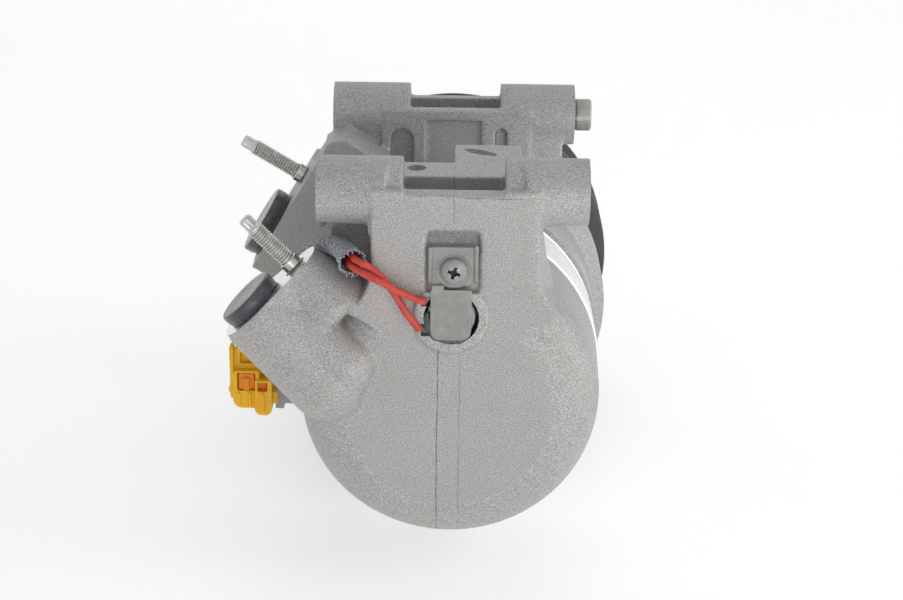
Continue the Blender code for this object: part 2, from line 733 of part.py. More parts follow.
def pulley():
    """Pulley with V grooves round its rim."""
    profile = [
        (27.5, PULLEY_END), (27.5, 161.2), (31.0, 161.2), (31.0, 177.0), (54.0, 177.0),
        (54.0, PULLEY_START), (62.0, PULLEY_START), (PULLEY_R, 160.2),
    ]
    for groove in range(GROOVE_COUNT):
        y = GROOVE_START + GROOVE_PITCH * groove
        profile += [
            (PULLEY_R, y),
            (PULLEY_R - GROOVE_DEPTH, y + GROOVE_WIDTH / 2),
            (PULLEY_R, y + GROOVE_WIDTH),
        ]
    profile += [(PULLEY_R, 182.2), (62.6, PULLEY_END)]
    turned("pulley", profile[::-1], BLACK, 48, closed=True)


def pulley_bearing():
    ring("bearing_inner_race", 17.8, 20.8, (161.3, 179.0), STEEL, 36)
    ring("bearing_outer_race", 24.4, 27.2, (161.5, 179.5), STEEL, 36)
    cage = ring("bearing_cage", 22.2, 23.0, (163.5, 177.0), STEEL, 36)
    balls = []
    for k in range(BALL_COUNT):
        a = math.tau * k / BALL_COUNT
        centre = (BALL_CIRCLE_R * math.cos(a), 170.2, BALL_CIRCLE_R * math.sin(a))
        balls.append(cylinder(f"ball_{k}", 1.5, 2.6, centre, (math.cos(a), 0, math.sin(a)), 8))
    carve(cage, balls)


def armature():
    """Clutch hub, armature plate, leaf springs and shaft nut."""
    hub = [
        (6.8, 191.5), (18.0, 191.5), (18.0, 189.4), (11.0, 189.4), (11.0, 182.0), (6.8, 182.0),
    ]
    turned("clutch_hub", hub, STEEL, 32, closed=True)
    span = (ARMATURE_START, ARMATURE_START + ARMATURE_THICK)
    ring("armature_plate", 24.0, 55.0, span, BLACK, 48)
    spring_y = ARMATURE_START + ARMATURE_THICK + 1.0
    for k, (x, z) in enumerate(on_circle(1.0, 3, 90)):
        low = [-half for half in SPRING_HALF]
        spring = box(f"leaf_spring_{k + 1}", low, SPRING_HALF, STEEL)
        origin = (x * SPRING_R, spring_y, z * SPRING_R)
        spring.matrix_world = frame((-z, 0, x), (x, 0, z), (0, 1, 0), origin)
    nut = cylinder("shaft_nut", 8.6, 4.2, (0, 194.0, 0), (0, 1, 0), 6, ZINC)
    carve(nut, cuts=[y_rod("nut_bore", 6.7, (0, 0), (185, 200), 20)])


# ---- outside fittings ---------------------------------------------------------------------------------
def dowel_sleeve():
    dowel = lug_rod("dowel_sleeve", 6.0, (36.0, 51.8), FRONT_LUG_Y, 24, ZINC)
    carve(dowel, cuts=[lug_rod("dowel_hole", 4.3, (30, 60), FRONT_LUG_Y, 20)])


def stud(name, port, height):
    base = port_point(port, port.stud_at, port.face)
    profile = [
        (0, height), (2.0, height), (2.2, height - 0.4), (2.2, height - 3.8),
        (2.5, height - 4.2), (3.0, height - 4.8), (3.0, 3.6), (3.3, 3.3), (3.3, 0.4),
        (3.0, 0.3), (3.0, -11.5), (2.4, -12.0), (0, -12.0),
    ]
    turned(name, profile, ZINC, 16, centre=base, axis=port.direction)


def port_cap(name, port, top, plug, height):
    """Cap of radius top over the face, with a plug of radius plug in the port."""
    base = port_point(port, port.port_at, port.face)
    profile = [
        (0, height), (top - 1.6, height), (top - 0.5, height - 0.5), (top, height - 1.6),
        (top, 0.4), (top - 0.4, 0.3), (plug, 0.3), (plug, -5.6), (plug - 0.8, -6.4), (0, -6.4),
    ]
    turned(name, profile, RUBBER, 32, centre=base, axis=port.direction)


def thermal_protector():
    """Protector in the head's recess, its clamp, screw and sealant."""
    y_rod("thermal_protector", 8.4, (0, RECESS_Z), (0.2, 10.6), 28, GREY)
    clamp = box("clamp_plate", (-7.9, -1.2, 46.3), (8.7, 0.5, 60.0), ZINC)
    adds = [
        box("tongue", (-7.0, -2.4, 27.4), (6.7, -0.4, 45.4)),
        box("clamp_bend", (-7.0, -2.4, 44.6), (6.7, 0.5, 46.8)),
    ]
    carve(clamp, adds, [y_rod("clamp_screw_hole", 2.4, SCREW_AT, (-5, 5), 14)])
    screw = [
        (0, 11.0), (2.0, 11.0), (2.0, -1.5), (4.5, -1.5), (4.3, -2.6), (3.0, -3.6), (0, -3.9),
    ]
    turned("clamp_screw", screw, ZINC, 24, centre=(SCREW_AT[0], 0, SCREW_AT[1]))
    ring("protector_sealant", 8.65, 9.0, (2.5, 5.5), SEALANT, 28, (0, 0, RECESS_Z))


def protector_wires():
    """Hollow sleeve and the two wires that run from inside it to the protector."""
    path = bend(SLEEVE_POINTS, 3)
    sleeve = bake(wire("wire_sleeve", path, SLEEVE_R, SLEEVE))
    bore = bake(wire("sleeve_bore", longer(path, 3.0), SLEEVE_BORE_R, SLEEVE))
    carve(sleeve, cuts=[bore], angle=60.0)
    inside = path[9:]
    wire_a = beside(inside, -WIRE_OFFSET) + bend(WIRE_A_POINTS, 2)
    wire_b = beside(inside, WIRE_OFFSET) + bend(WIRE_B_POINTS, 2)
    wire("protector_wire_a", wire_a, WIRE_R, RED)
    wire("protector_wire_b", wire_b, WIRE_R, RED)


def connector():
    """Connector with its lock and clip."""
    low, high = (-79.5, 44.5, -23.0), (-64.4, 56.0, -6.0)
    housing = box("connector_housing", low, high, YELLOW, bevel=1.5)
    adds = [
        box("connector_strap", (-80.5, 46.0, -16.0), (-76.5, 50.0, 4.2)),
        box("connector_key", (-75.0, 42.8, -22.5), (-70.0, 47.0, -12.0)),
    ]
    carve(housing, adds, [box("connector_mouth", (-77.5, 40.0, -13.5), (-67.0, 53.0, -8.5))])
    box("connector_lock", (-77.1, 44.0, -13.1), (-67.4, 52.5, -8.9), ORANGE, bevel=0.6)
    clip = box("connector_clip", (-64.0, 46.5, -20.5), (-53.2, 53.5, -12.2), GREY)
    carve(clip, cuts=[box("clip_slot", (-61.0, 40.0, -22.0), (-56.0, 60.0, -18.2))])


# ---- build --------------------------------------------------------------------------------------------
rear_head()
fixed_scroll()
front_housing()

o_ring("rear_o_ring", 42.5, 0.75, 43.3)
o_ring("front_o_ring", 45.25, 0.55, SHELL_END - 0.7)
reed_valve()
orbiting_scroll()
thrust_plate()
drive_shaft()
case_bolts()

field_coil()
pulley()
pulley_bearing()
armature()

dowel_sleeve()
stud("discharge_stud", DISCHARGE, 24.0)
stud("suction_stud", SUCTION, 26.5)
port_cap("discharge_port_cap", DISCHARGE, top=10.8, plug=7.6, height=5.0)
port_cap("suction_port_cap", SUCTION, top=13.0, plug=9.6, height=5.6)
thermal_protector()
protector_wires()
connector()
wire("coil_lead", bend(COIL_LEAD_POINTS, 2), COIL_LEAD_R, SLEEVE)
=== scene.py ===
"""Looks of a scroll compressor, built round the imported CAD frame.

The shaft runs along +Y: the domed rear head starts at y = 0 and faces the camera,
and the pulley and clutch are at the far end, near y = 190. +Z is up, towards the
mounting lugs, and -X is left, the side of both ports. Sizes and places are in
millimetres unless a comment says otherwise.
"""

import math
from collections import namedtuple

import bmesh
import bpy
import numpy as np
from mathutils import Matrix, Vector


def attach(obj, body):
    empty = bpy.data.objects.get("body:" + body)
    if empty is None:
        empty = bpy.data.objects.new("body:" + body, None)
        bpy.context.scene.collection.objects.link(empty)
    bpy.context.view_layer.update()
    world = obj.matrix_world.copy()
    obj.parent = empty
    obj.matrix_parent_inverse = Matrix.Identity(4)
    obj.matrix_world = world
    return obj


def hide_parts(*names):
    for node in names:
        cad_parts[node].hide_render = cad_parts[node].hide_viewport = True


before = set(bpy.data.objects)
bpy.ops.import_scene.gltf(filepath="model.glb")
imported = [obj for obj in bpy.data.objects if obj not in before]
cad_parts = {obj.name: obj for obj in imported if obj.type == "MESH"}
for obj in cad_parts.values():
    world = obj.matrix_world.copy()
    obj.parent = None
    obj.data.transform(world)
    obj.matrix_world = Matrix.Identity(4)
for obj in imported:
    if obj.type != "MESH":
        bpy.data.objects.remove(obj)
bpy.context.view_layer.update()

MM = 0.001
DETAIL = 2.0  # multiplies the side count of round pieces
VOXEL = 0.5  # of the two castings' skin
JOINT = 0.3  # gap between neighbouring casing pieces

# ---- driving dimensions; an END is a place along Y --------------------------
DOME_FLAT_R = 34.0
DOME_FILLET = 18.0
DOME_R = DOME_FLAT_R + DOME_FILLET
HEAD_R = 53.0
HEAD_END = 44.0
SHELL_R = 53.4
SHELL_END = 72.0
BARREL_R = 54.5
BARREL_END = 99.0
FLANGE_R = 59.5
FLANGE_END = 125.0
CASE_BORE_R = 44.0
CHAMBER_R = 38.0

LUG_R = 11.3
LUG_HOLE_R = 4.25
LUG_Z = 75.0
LUG_OUT = 45.3  # outer end faces, either side of x = 0
LUG_IN_LEFT = -16.5
LUG_IN_RIGHT = 17.5
REAR_LUG_Y = 14.0
FRONT_LUG_Y = 110.0
NECK_LEFT = -27.0
NECK_RIGHT = 29.0
NECK_FILLET = 20.0
NECK_ROOT_Z = 52.0
SHELF_TOP = 76.5
SHELF_LOW = SHELF_TOP - 4.5

# A port face: its outward direction, distance from the shaft and place along Y,
# and how far up the face the port and the stud sit.
Port = namedtuple("Port", "out face y port_rise stud_rise")
SUCTION_ANGLE = math.radians(31.0)
DISCHARGE = Port((-math.sqrt(0.5), 0.0, math.sqrt(0.5)), 71.5, 11.0, -23.1, -3.5)
SUCTION = Port((-math.cos(SUCTION_ANGLE), 0.0, math.sin(SUCTION_ANGLE)), 75.8, 95.0, -5.9, 17.4)
DIS_PORT_R = 14.0
DIS_STUD_R = 9.3

RECESS_Z = 35.0  # round recess of the thermal protector
RECESS_R = 9.3
SCREW_X = 0.7  # clamp screw
SCREW_Z = 52.0

BOLT_R = 49.1
BOLT_COUNT = 5
BOLT_TURN = 25.0  # degrees
NOSE_R = 17.5

scene = bpy.context.scene
parts = bpy.data.collections.new("looks")
tools = bpy.data.collections.new("look_tools")  # holds curves until they are meshed
scene.collection.children.link(parts)
scene.collection.children.link(tools)
tools.hide_render = True


# ---- object helpers -----------------------------------------------------------
def coat(obj, *looks):
    obj.data.materials.clear()
    for look in looks:
        obj.data.materials.append(look)
    return obj


def place(name, mesh, look, matrix=None):
    obj = bpy.data.objects.new(name, mesh)
    parts.objects.link(obj)
    if matrix is not None:
        obj.matrix_world = matrix
    return coat(obj, look) if look is not None else obj


def smooth(obj, crease=35.0):
    """Smooth shading, with edges sharper than crease degrees kept."""
    obj.data.shade_smooth()
    obj.data.set_sharp_from_angle(angle=math.radians(crease))
    return obj


def own(obj, node, body="casing"):
    """Ties a look to the body it moves with and the frame node it replaces."""
    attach(obj, body)
    if node:
        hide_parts(node)


def to_world(obj):
    """The object's place moves into its vertices."""
    obj.data.transform(obj.matrix_world)
    if obj.matrix_world.determinant() < 0:
        obj.data.flip_normals()
    obj.matrix_world = Matrix.Identity(4)
    return obj


def evaluated_mesh(obj):
    bpy.context.view_layer.update()
    graph = bpy.context.evaluated_depsgraph_get()
    return bpy.data.meshes.new_from_object(obj.evaluated_get(graph))


def apply_modifiers(obj):
    mesh = evaluated_mesh(obj)
    obj.modifiers.clear()
    obj.data = mesh


def combine(obj, others, operation, solver="EXACT"):
    for other in others:
        change = obj.modifiers.new(operation.lower(), "BOOLEAN")
        change.operation = operation
        change.solver = solver
        change.object = other
    apply_modifiers(obj)
    for other in others:
        bpy.data.objects.remove(other, do_unlink=True)
    return obj


def carve(obj, others, operation="DIFFERENCE"):
    """A clean boolean between closed meshes, all moved to world space."""
    for item in [obj] + others:
        to_world(item)
    return combine(obj, others, operation, "MANIFOLD")


def remeshed(obj, voxel, rounds):
    """One even skin with its sharp edges eased, as a casting has."""
    to_world(obj)
    change = obj.modifiers.new("skin", "REMESH")
    change.mode = "VOXEL"
    change.voxel_size = voxel * MM
    change.adaptivity = 0.0
    ease = obj.modifiers.new("ease", "SMOOTH")
    ease.factor = 0.5
    ease.iterations = rounds
    apply_modifiers(obj)


def paint_faces(obj, rule, slot):
    """Gives a material slot to the faces whose centre (mm) and normal pass the rule."""
    faces = obj.data.polygons
    count = len(faces)
    centre = np.empty(count * 3, np.float32)
    normal = np.empty(count * 3, np.float32)
    slots = np.empty(count, np.int32)
    faces.foreach_get("center", centre)
    faces.foreach_get("normal", normal)
    faces.foreach_get("material_index", slots)
    slots[rule(centre.reshape(-1, 3) / MM, normal.reshape(-1, 3))] = slot
    faces.foreach_set("material_index", slots)
    obj.data.update()


# ---- shape helpers --------------------------------------------------------------
def sides(count):
    return count if count <= 8 else max(8, 2 * round(count * DETAIL / 2))


def moved_to(centre):
    return Matrix.Translation(Vector(centre) * MM)


def along(axis, centre):
    """Turns local Z onto the axis and moves to the centre."""
    turn = Vector((0, 0, 1)).rotation_difference(Vector(axis).normalized())
    return moved_to(centre) @ turn.to_matrix().to_4x4()


def mesh_from(name, solid):
    mesh = bpy.data.meshes.new(name)
    solid.to_mesh(mesh)
    solid.free()
    return mesh


def cylinder(name, radius, length, centre, axis, steps=32, look=None):
    solid = bmesh.new()
    bmesh.ops.create_cone(
        solid, cap_ends=True, segments=sides(steps), radius1=radius * MM,
        radius2=radius * MM, depth=length * MM,
    )
    return smooth(place(name, mesh_from(name, solid), look, along(axis, centre)))


def rod(name, radius, start, end, steps=32, look=None):
    start, end = Vector(start), Vector(end)
    run = end - start
    return cylinder(name, radius, run.length, (start + end) / 2, run, steps, look)


def box(name, low, high):
    solid = bmesh.new()
    bmesh.ops.create_cube(solid, size=1.0)
    size = [(top - bottom) * MM for bottom, top in zip(low, high)]
    bmesh.ops.scale(solid, vec=size, verts=solid.verts)
    centre = [(bottom + top) / 2 for bottom, top in zip(low, high)]
    return place(name, mesh_from(name, solid), None, moved_to(centre))


def ball(name, radius, centre):
    solid = bmesh.new()
    bmesh.ops.create_uvsphere(
        solid, u_segments=sides(24), v_segments=sides(12), radius=radius * MM)
    return smooth(place(name, mesh_from(name, solid), None, moved_to(centre)))


def skin(name, rings, look, matrix=None, closed=False, capped=False, crease=30.0):
    """A mesh over rings of points (metres); a ring of one point is a pole."""
    solid = bmesh.new()
    loops = [[solid.verts.new(point) for point in ring] for ring in rings]
    count = max(len(loop) for loop in loops)
    pairs = list(zip(loops, loops[1:]))
    if closed:
        pairs.append((loops[-1], loops[0]))
    for near, far in pairs:
        for k in range(count):
            after = (k + 1) % count
            corners = list(dict.fromkeys((
                near[k % len(near)], near[after % len(near)],
                far[after % len(far)], far[k % len(far)],
            )))
            if len(corners) > 2:
                solid.faces.new(corners)
    if capped:
        solid.faces.new(loops[0][::-1])
        solid.faces.new(loops[-1])
    bmesh.ops.recalc_face_normals(solid, faces=solid.faces)
    return smooth(place(name, mesh_from(name, solid), look, matrix), crease)


def turned(name, profile, look=None, steps=48, closed=False, centre=(0, 0, 0),
           axis=(0, 1, 0), crease=30.0, rule=None):
    """(radius, height) points turned about the axis; a rule varies the radius by angle."""
    count = sides(steps)
    rings = []
    for radius, height in profile:
        if radius < 1e-6:
            rings.append([(0, 0, height * MM)])
            continue
        ring = []
        for k in range(count):
            angle = math.tau * k / count
            reach = (rule(radius, height, angle) if rule else radius) * MM
            ring.append((reach * math.cos(angle), reach * math.sin(angle), height * MM))
        rings.append(ring)
    return skin(name, rings, look, along(axis, centre), closed, crease=crease)


def ring(name, inner, outer, start, end, look=None, steps=60, edge=0.25):
    """A flat ring on the shaft axis with chamfered edges."""
    profile = [
        (outer - edge, end), (outer, end - edge), (outer, start + edge), (outer - edge, start),
        (inner + edge, start), (inner, start + edge), (inner, end - edge), (inner + edge, end),
    ]
    return turned(name, profile, look, steps, closed=True)


def fine_rows(corners, step):
    """The profile again with points no more than about a step apart."""
    rows = []
    for (radius, height), (next_radius, next_height) in zip(corners, corners[1:]):
        widen, climb = next_radius - radius, next_height - height
        count = max(1, int(round(max(abs(climb), abs(widen)) / step)))
        rows += [(radius + widen * i / count, height + climb * i / count) for i in range(count)]
    return rows + [corners[-1]]


def clean(mesh):
    solid = bmesh.new()
    solid.from_mesh(mesh)
    bmesh.ops.remove_doubles(solid, verts=solid.verts, dist=0.000001)
    bmesh.ops.recalc_face_normals(solid, faces=solid.faces)
    solid.to_mesh(mesh)
    solid.free()


def curve_mesh(name, lines, cyclic=False, **settings):
    """The mesh of a curve through lines of points (metres)."""
    curve = bpy.data.curves.new(name, "CURVE")
    for key, value in settings.items():
        setattr(curve, key, value)
    for line in lines:
        spline = curve.splines.new("POLY")
        spline.points.add(len(line) - 1)
        for point, spot in zip(spline.points, line):
            point.co = (*spot, 1.0)
        spline.use_cyclic_u = cyclic
    obj = bpy.data.objects.new(name, curve)
    tools.objects.link(obj)
    mesh = evaluated_mesh(obj)
    bpy.data.objects.remove(obj, do_unlink=True)
    return mesh


def plate(name, outline, half, matrix, look=None):
    """A flat outline in local XY, half its thickness either side of it."""
    mesh = curve_mesh(
        name, [[(x * MM, y * MM, 0.0) for x, y in outline]], cyclic=True,
        dimensions="2D", fill_mode="BOTH", extrude=half * MM,
    )
    clean(mesh)
    mesh.name = name
    return smooth(place(name, mesh, look, matrix))


def xz_plate(name, outline, near, far, look=None):
    """An upright (x, z) outline filled from y = near to y = far."""
    middle = (near + far) / 2 * MM
    matrix = Matrix(((1, 0, 0, 0), (0, 0, -1, middle), (0, 1, 0, 0), (0, 0, 0, 1)))
    return plate(name, outline, (far - near) / 2, matrix, look)


def loft(name, near, far, near_y, far_y):
    """A solid between two (x, z) outlines of as many points each."""
    solid = bmesh.new()
    front = [solid.verts.new(Vector((x, near_y, z)) * MM) for x, z in near]
    back = [solid.verts.new(Vector((x, far_y, z)) * MM) for x, z in far]
    solid.faces.new(front)
    solid.faces.new(back[::-1])
    for k in range(len(front)):
        after = (k + 1) % len(front)
        solid.faces.new((front[after], front[k], back[k], back[after]))
    bmesh.ops.recalc_face_normals(solid, faces=solid.faces)
    return place(name, mesh_from(name, solid), None)


def arc(x, y, radius, start, end, count):
    """Points on an arc between two angles in degrees."""
    angles = [math.radians(start + (end - start) * i / count) for i in range(count + 1)]
    return [(x + radius * math.cos(angle), y + radius * math.sin(angle)) for angle in angles]


def rounded(left, low, right, high, radii, count=6):
    """A rounded rectangle; radii anticlockwise from the upper right corner."""
    if isinstance(radii, (int, float)):
        radii = (radii,) * 4
    one, two, three, four = radii
    return (
        arc(right - one, high - one, one, 0, 90, count)
        + arc(left + two, high - two, two, 90, 180, count)
        + arc(left + three, low + three, three, 180, 270, count)
        + arc(right - four, low + four, four, 270, 360, count)
    )


# ---- materials --------------------------------------------------------------------
def add_node(tree, kind, inputs=None, **settings):
    made = tree.nodes.new("ShaderNode" + kind)
    for key, value in settings.items():
        setattr(made, key, value)
    feed(tree, made, inputs or {})
    return made


def feed(tree, node, inputs):
    """Links each socket given, and stores each plain value."""
    for slot, value in inputs.items():
        if isinstance(value, bpy.types.NodeSocket):
            tree.links.new(value, node.inputs[slot])
        else:
            node.inputs[slot].default_value = value


def rgba(value):
    return (*value, 1.0) if isinstance(value, tuple) else value


class Look:
    """A Principled material; its textures follow object space, in metres."""

    def __init__(self, name, colour=(0.5, 0.5, 0.5), roughness=0.5, metallic=0.0):
        self.material = bpy.data.materials.new(name)
        self.material.use_nodes = True
        self.tree = self.material.node_tree
        self.shader = self.tree.nodes["Principled BSDF"]
        self.set(Base_Color=rgba(colour), Roughness=roughness, Metallic=metallic)
        self.coords = self.node("TexCoord").outputs["Object"]
        self.normal = None

    def set(self, **values):
        """Shader inputs by name, with underscores for spaces."""
        inputs = {name.replace("_", " "): value for name, value in values.items()}
        feed(self.tree, self.shader, inputs)

    def node(self, kind, inputs=None, **settings):
        return add_node(self.tree, kind, inputs, **settings)

    def mapped(self, scale=(1, 1, 1), turn=(0, 0, 0)):
        inputs = {"Scale": scale, "Rotation": turn, "Vector": self.coords}
        return self.node("Mapping", inputs).outputs["Vector"]

    def noise(self, scale, detail=3.0, roughness=0.55, where=None, distortion=0.0):
        return self.node("TexNoise", {
            "Scale": scale, "Detail": detail, "Roughness": roughness,
            "Distortion": distortion, "Vector": where or self.coords,
        }).outputs["Fac"]

    def spread(self, source, start, end, low=0.0, high=1.0):
        """Maps start..end onto low..high."""
        return self.node("MapRange", {
            "From Min": start, "From Max": end, "To Min": low, "To Max": high, "Value": source,
        }).outputs["Result"]

    def math(self, kind, first, second):
        return self.node("Math", {0: first, 1: second}, operation=kind).outputs[0]

    def times(self, first, second):
        return self.math("MULTIPLY", first, second)

    def mix(self, factor, first, second):
        inputs = {0: factor, 6: rgba(first), 7: rgba(second)}
        return self.node("Mix", inputs, data_type="RGBA").outputs[2]

    def mottle(self, source, dark, light, start=0.3, end=0.7):
        return self.mix(self.spread(source, start, end), dark, light)

    def stain(self, tone, source, start, end, amount, colour):
        """Colour laid over the tone, growing to amount as the source passes start..end."""
        return self.mix(self.spread(source, start, end, 0.0, amount), tone, colour)

    def pointiness(self, **span):
        return self.spread(self.node("NewGeometry").outputs["Pointiness"], **span)

    def edges(self, tone, amount, colour):
        """Colour on worn outer edges."""
        worn = self.pointiness(start=0.515, end=0.58)
        return self.mix(self.times(worn, amount), tone, colour)

    def shade_hollows(self, tone, amount, colour):
        """Painted shade: darker colour in the inner corners, where shade falls."""
        deep = self.pointiness(start=0.42, end=0.492, low=1.0, high=0.0)
        return self.mix(self.times(deep, amount), tone, colour)

    def gloss(self, source, low, high):
        """Roughness from low to high across the middle of a noise."""
        self.set(Roughness=self.spread(source, 0.3, 0.7, low, high))

    def bump(self, source, strength, depth):
        """Adds relief of the given depth (mm) to what is there."""
        inputs = {"Strength": strength, "Distance": depth * MM, "Height": source}
        if self.normal is not None:
            inputs["Normal"] = self.normal
        self.normal = self.node("Bump", inputs).outputs["Normal"]
        self.set(Normal=self.normal)


def add_seams(look, tone, seams):
    """Mould seams on the faces that look towards -Y; see HEAD_SEAMS for the columns."""
    axes = look.node("SeparateXYZ", {0: look.coords})
    geometry = look.node("NewGeometry")
    normal = look.node("SeparateXYZ", {0: geometry.outputs["Normal"]})
    front = look.spread(normal.outputs["Y"], start=-0.25, end=-0.45)
    waver = look.spread(look.noise(scale=55), 0.3, 0.7, low=-0.22 * MM, high=0.22 * MM)
    broken = look.spread(look.noise(scale=210, detail=2.0), 0.36, 0.52, low=0.25, high=1.0)
    fade = 2  # mm over which a seam's ends die out
    for across, run, spot, low, high, width, darkness in seams:
        offset = look.math("ADD", axes.outputs[across], -spot * MM)
        offset = look.math("ADD", look.math("ADD", offset, waver), 0.0)
        away = look.math("ABSOLUTE", offset, 0.0)
        line = look.spread(away, 0.3 * width * MM, width * MM, 1.0, 0.0)
        ends = look.times(
            look.spread(axes.outputs[run], low * MM, (low + fade) * MM),
            look.spread(axes.outputs[run], high * MM, (high - fade) * MM),
        )
        mark = look.times(look.times(look.times(line, ends), front), broken)
        tone = look.mix(look.times(mark, darkness), tone, (0.11, 0.108, 0.105))
        look.bump(mark, strength=-0.6, depth=0.22)
    return tone


def cast_look(name, seams=()):
    """Blasted aluminium: warm grey, with pits, painted white glints for its sparkle and painted shade in
    its inner corners.
    """
    look = Look(name, roughness=0.6, metallic=0.35)
    grain = look.noise(scale=2200, detail=1.5)
    speck = look.noise(scale=4200, detail=1.0, roughness=0.5)
    cloud = look.noise(scale=38, detail=4.0, roughness=0.6)
    blotch = look.noise(scale=120, detail=5.0, roughness=0.65, distortion=0.6)
    tone = look.mottle(cloud, dark=(0.345, 0.333, 0.318), light=(0.405, 0.394, 0.380))
    tone = look.mix(
        look.spread(grain, start=0.34, end=0.66),
        look.mix(0.64, tone, (0.225, 0.218, 0.210)),
        look.mix(0.50, tone, (0.64, 0.63, 0.62)),
    )
    tone = look.stain(tone, blotch, start=0.60, end=0.72, amount=0.16, colour=(0.24, 0.22, 0.20))
    # Painted glints: near-white specks stand in for the sparkle of the blasted surface.
    tone = look.stain(tone, speck, start=0.61, end=0.68, amount=0.85, colour=(0.92, 0.92, 0.92))
    tone = look.stain(tone, speck, start=0.38, end=0.31, amount=0.35, colour=(0.13, 0.13, 0.13))
    tone = look.edges(tone, amount=0.25, colour=(0.60, 0.60, 0.58))
    # Painted shade: darkens the casting's inner corners.
    tone = look.shade_hollows(tone, amount=0.60, colour=(0.12, 0.12, 0.115))
    look.gloss(grain, low=0.46, high=0.66)
    look.bump(look.noise(scale=520, roughness=0.6), strength=0.28, depth=0.10)
    look.bump(grain, strength=0.5, depth=0.09)
    cells = look.node("TexVoronoi", {"Scale": 85, "Vector": look.coords})
    pit = look.spread(cells.outputs["Distance"], start=0.015, end=0.042, low=1.0, high=0.0)
    tone = look.mix(look.times(pit, 0.45), tone, (0.10, 0.095, 0.09))
    look.bump(pit, strength=-0.5, depth=0.25)
    if seams:
        tone = add_seams(look, tone, seams)
    look.set(Base_Color=tone)
    return look.material


def machined_look(name, line_scale):
    look = Look(name, roughness=0.26, metallic=1.0)
    lines = look.noise(scale=1.0, detail=2.0, roughness=0.5, where=look.mapped(line_scale))
    cloud = look.noise(scale=60)
    tone = look.mottle(
        lines, dark=(0.72, 0.72, 0.74), light=(0.90, 0.90, 0.92), start=0.35, end=0.65)
    tone = look.stain(tone, cloud, start=0.5, end=0.75, amount=0.25, colour=(0.60, 0.60, 0.62))
    look.set(Base_Color=tone)
    look.gloss(lines, low=0.20, high=0.36)
    look.bump(lines, strength=0.22, depth=0.03)
    return look.material


def zinc_look(name, light, dark, rough):
    look = Look(name, roughness=rough, metallic=0.92)
    cloud = look.noise(scale=420, detail=4.0, roughness=0.6)
    fine = look.noise(scale=2600, detail=2.0, roughness=0.5)
    tone = look.mottle(cloud, dark, light, start=0.35, end=0.68)
    tone = look.edges(tone, amount=0.4, colour=(0.72, 0.74, 0.71))
    # Painted shade: darkens the inner corners of the zinc parts.
    tone = look.shade_hollows(tone, amount=0.6, colour=(0.10, 0.10, 0.095))
    look.set(Base_Color=tone)
    look.gloss(fine, low=rough - 0.08, high=rough + 0.12)
    look.bump(fine, strength=0.2, depth=0.03)
    look.bump(cloud, strength=0.15, depth=0.05)
    return look.material


def clamp_look():
    look = Look("dull_zinc", roughness=0.55, metallic=0.55)
    cloud = look.noise(scale=260, detail=4.0, roughness=0.65)
    fine = look.noise(scale=2300, detail=2.0)
    tone = look.mottle(cloud, dark=(0.25, 0.265, 0.245), light=(0.335, 0.35, 0.33))
    tone = look.stain(tone, fine, start=0.62, end=0.72, amount=0.4, colour=(0.50, 0.50, 0.47))
    tone = look.edges(tone, amount=0.5, colour=(0.55, 0.56, 0.54))
    # Painted shade: darkens the inner corners of the clamp and screw.
    tone = look.shade_hollows(tone, amount=0.7, colour=(0.08, 0.085, 0.08))
    look.set(Base_Color=tone)
    look.gloss(fine, low=0.48, high=0.66)
    look.bump(fine, strength=0.3, depth=0.06)
    return look.material


def steel_look(name, tint, rough):
    """Steel with fine turning lines round the shaft axis."""
    look = Look(name, roughness=rough, metallic=1.0)
    turning = look.mapped((90, 3500, 90))
    lines = look.noise(scale=1.0, detail=2.0, roughness=0.5, where=turning)
    cloud = look.noise(scale=80, detail=4.0)
    tone = look.mottle(
        lines, dark=tuple(0.8 * c for c in tint), light=tuple(min(1.0, 1.2 * c) for c in tint))
    tone = look.stain(tone, cloud, start=0.55, end=0.75, amount=0.35, colour=(0.36, 0.33, 0.30))
    look.set(Base_Color=tone)
    look.gloss(cloud, low=rough - 0.06, high=rough + 0.12)
    look.bump(lines, strength=0.15, depth=0.03)
    return look.material


def paint_look(name, colour, rough):
    look = Look(name, colour, rough)
    orange_peel = look.noise(scale=520, detail=2.0, roughness=0.5)
    dust = look.noise(scale=1700, detail=4.0, roughness=0.7)
    cloud = look.noise(scale=45, detail=4.0)
    faded = tuple(c * 1.9 + 0.006 for c in colour)
    tone = look.mottle(cloud, colour, faded, start=0.35, end=0.7)
    tone = look.stain(tone, dust, start=0.66, end=0.78, amount=0.25, colour=(0.20, 0.20, 0.20))
    tone = look.edges(tone, amount=0.25, colour=(0.12, 0.12, 0.13))
    look.set(Base_Color=tone)
    look.gloss(cloud, low=rough - 0.07, high=rough + 0.10)
    look.bump(orange_peel, strength=0.12, depth=0.05)
    look.set(Coat_Weight=0.25, Coat_Roughness=0.25)
    return look.material


def rubber_look(name, colour, rough):
    look = Look(name, colour, rough)
    fine = look.noise(scale=2600, roughness=0.6)
    cloud = look.noise(scale=90, detail=4.0)
    bloom = look.noise(scale=260, detail=4.0, roughness=0.6)
    tone = look.mottle(cloud, colour, tuple(c * 1.7 for c in colour))
    tone = look.stain(tone, bloom, start=0.55, end=0.8, amount=0.25, colour=(0.13, 0.13, 0.14))
    look.set(Base_Color=tone)
    look.gloss(bloom, low=rough - 0.06, high=rough + 0.12)
    look.bump(fine, strength=0.2, depth=0.03)
    look.set(Specular_IOR_Level=0.6, Sheen_Weight=0.25, Sheen_Roughness=0.5)
    return look.material


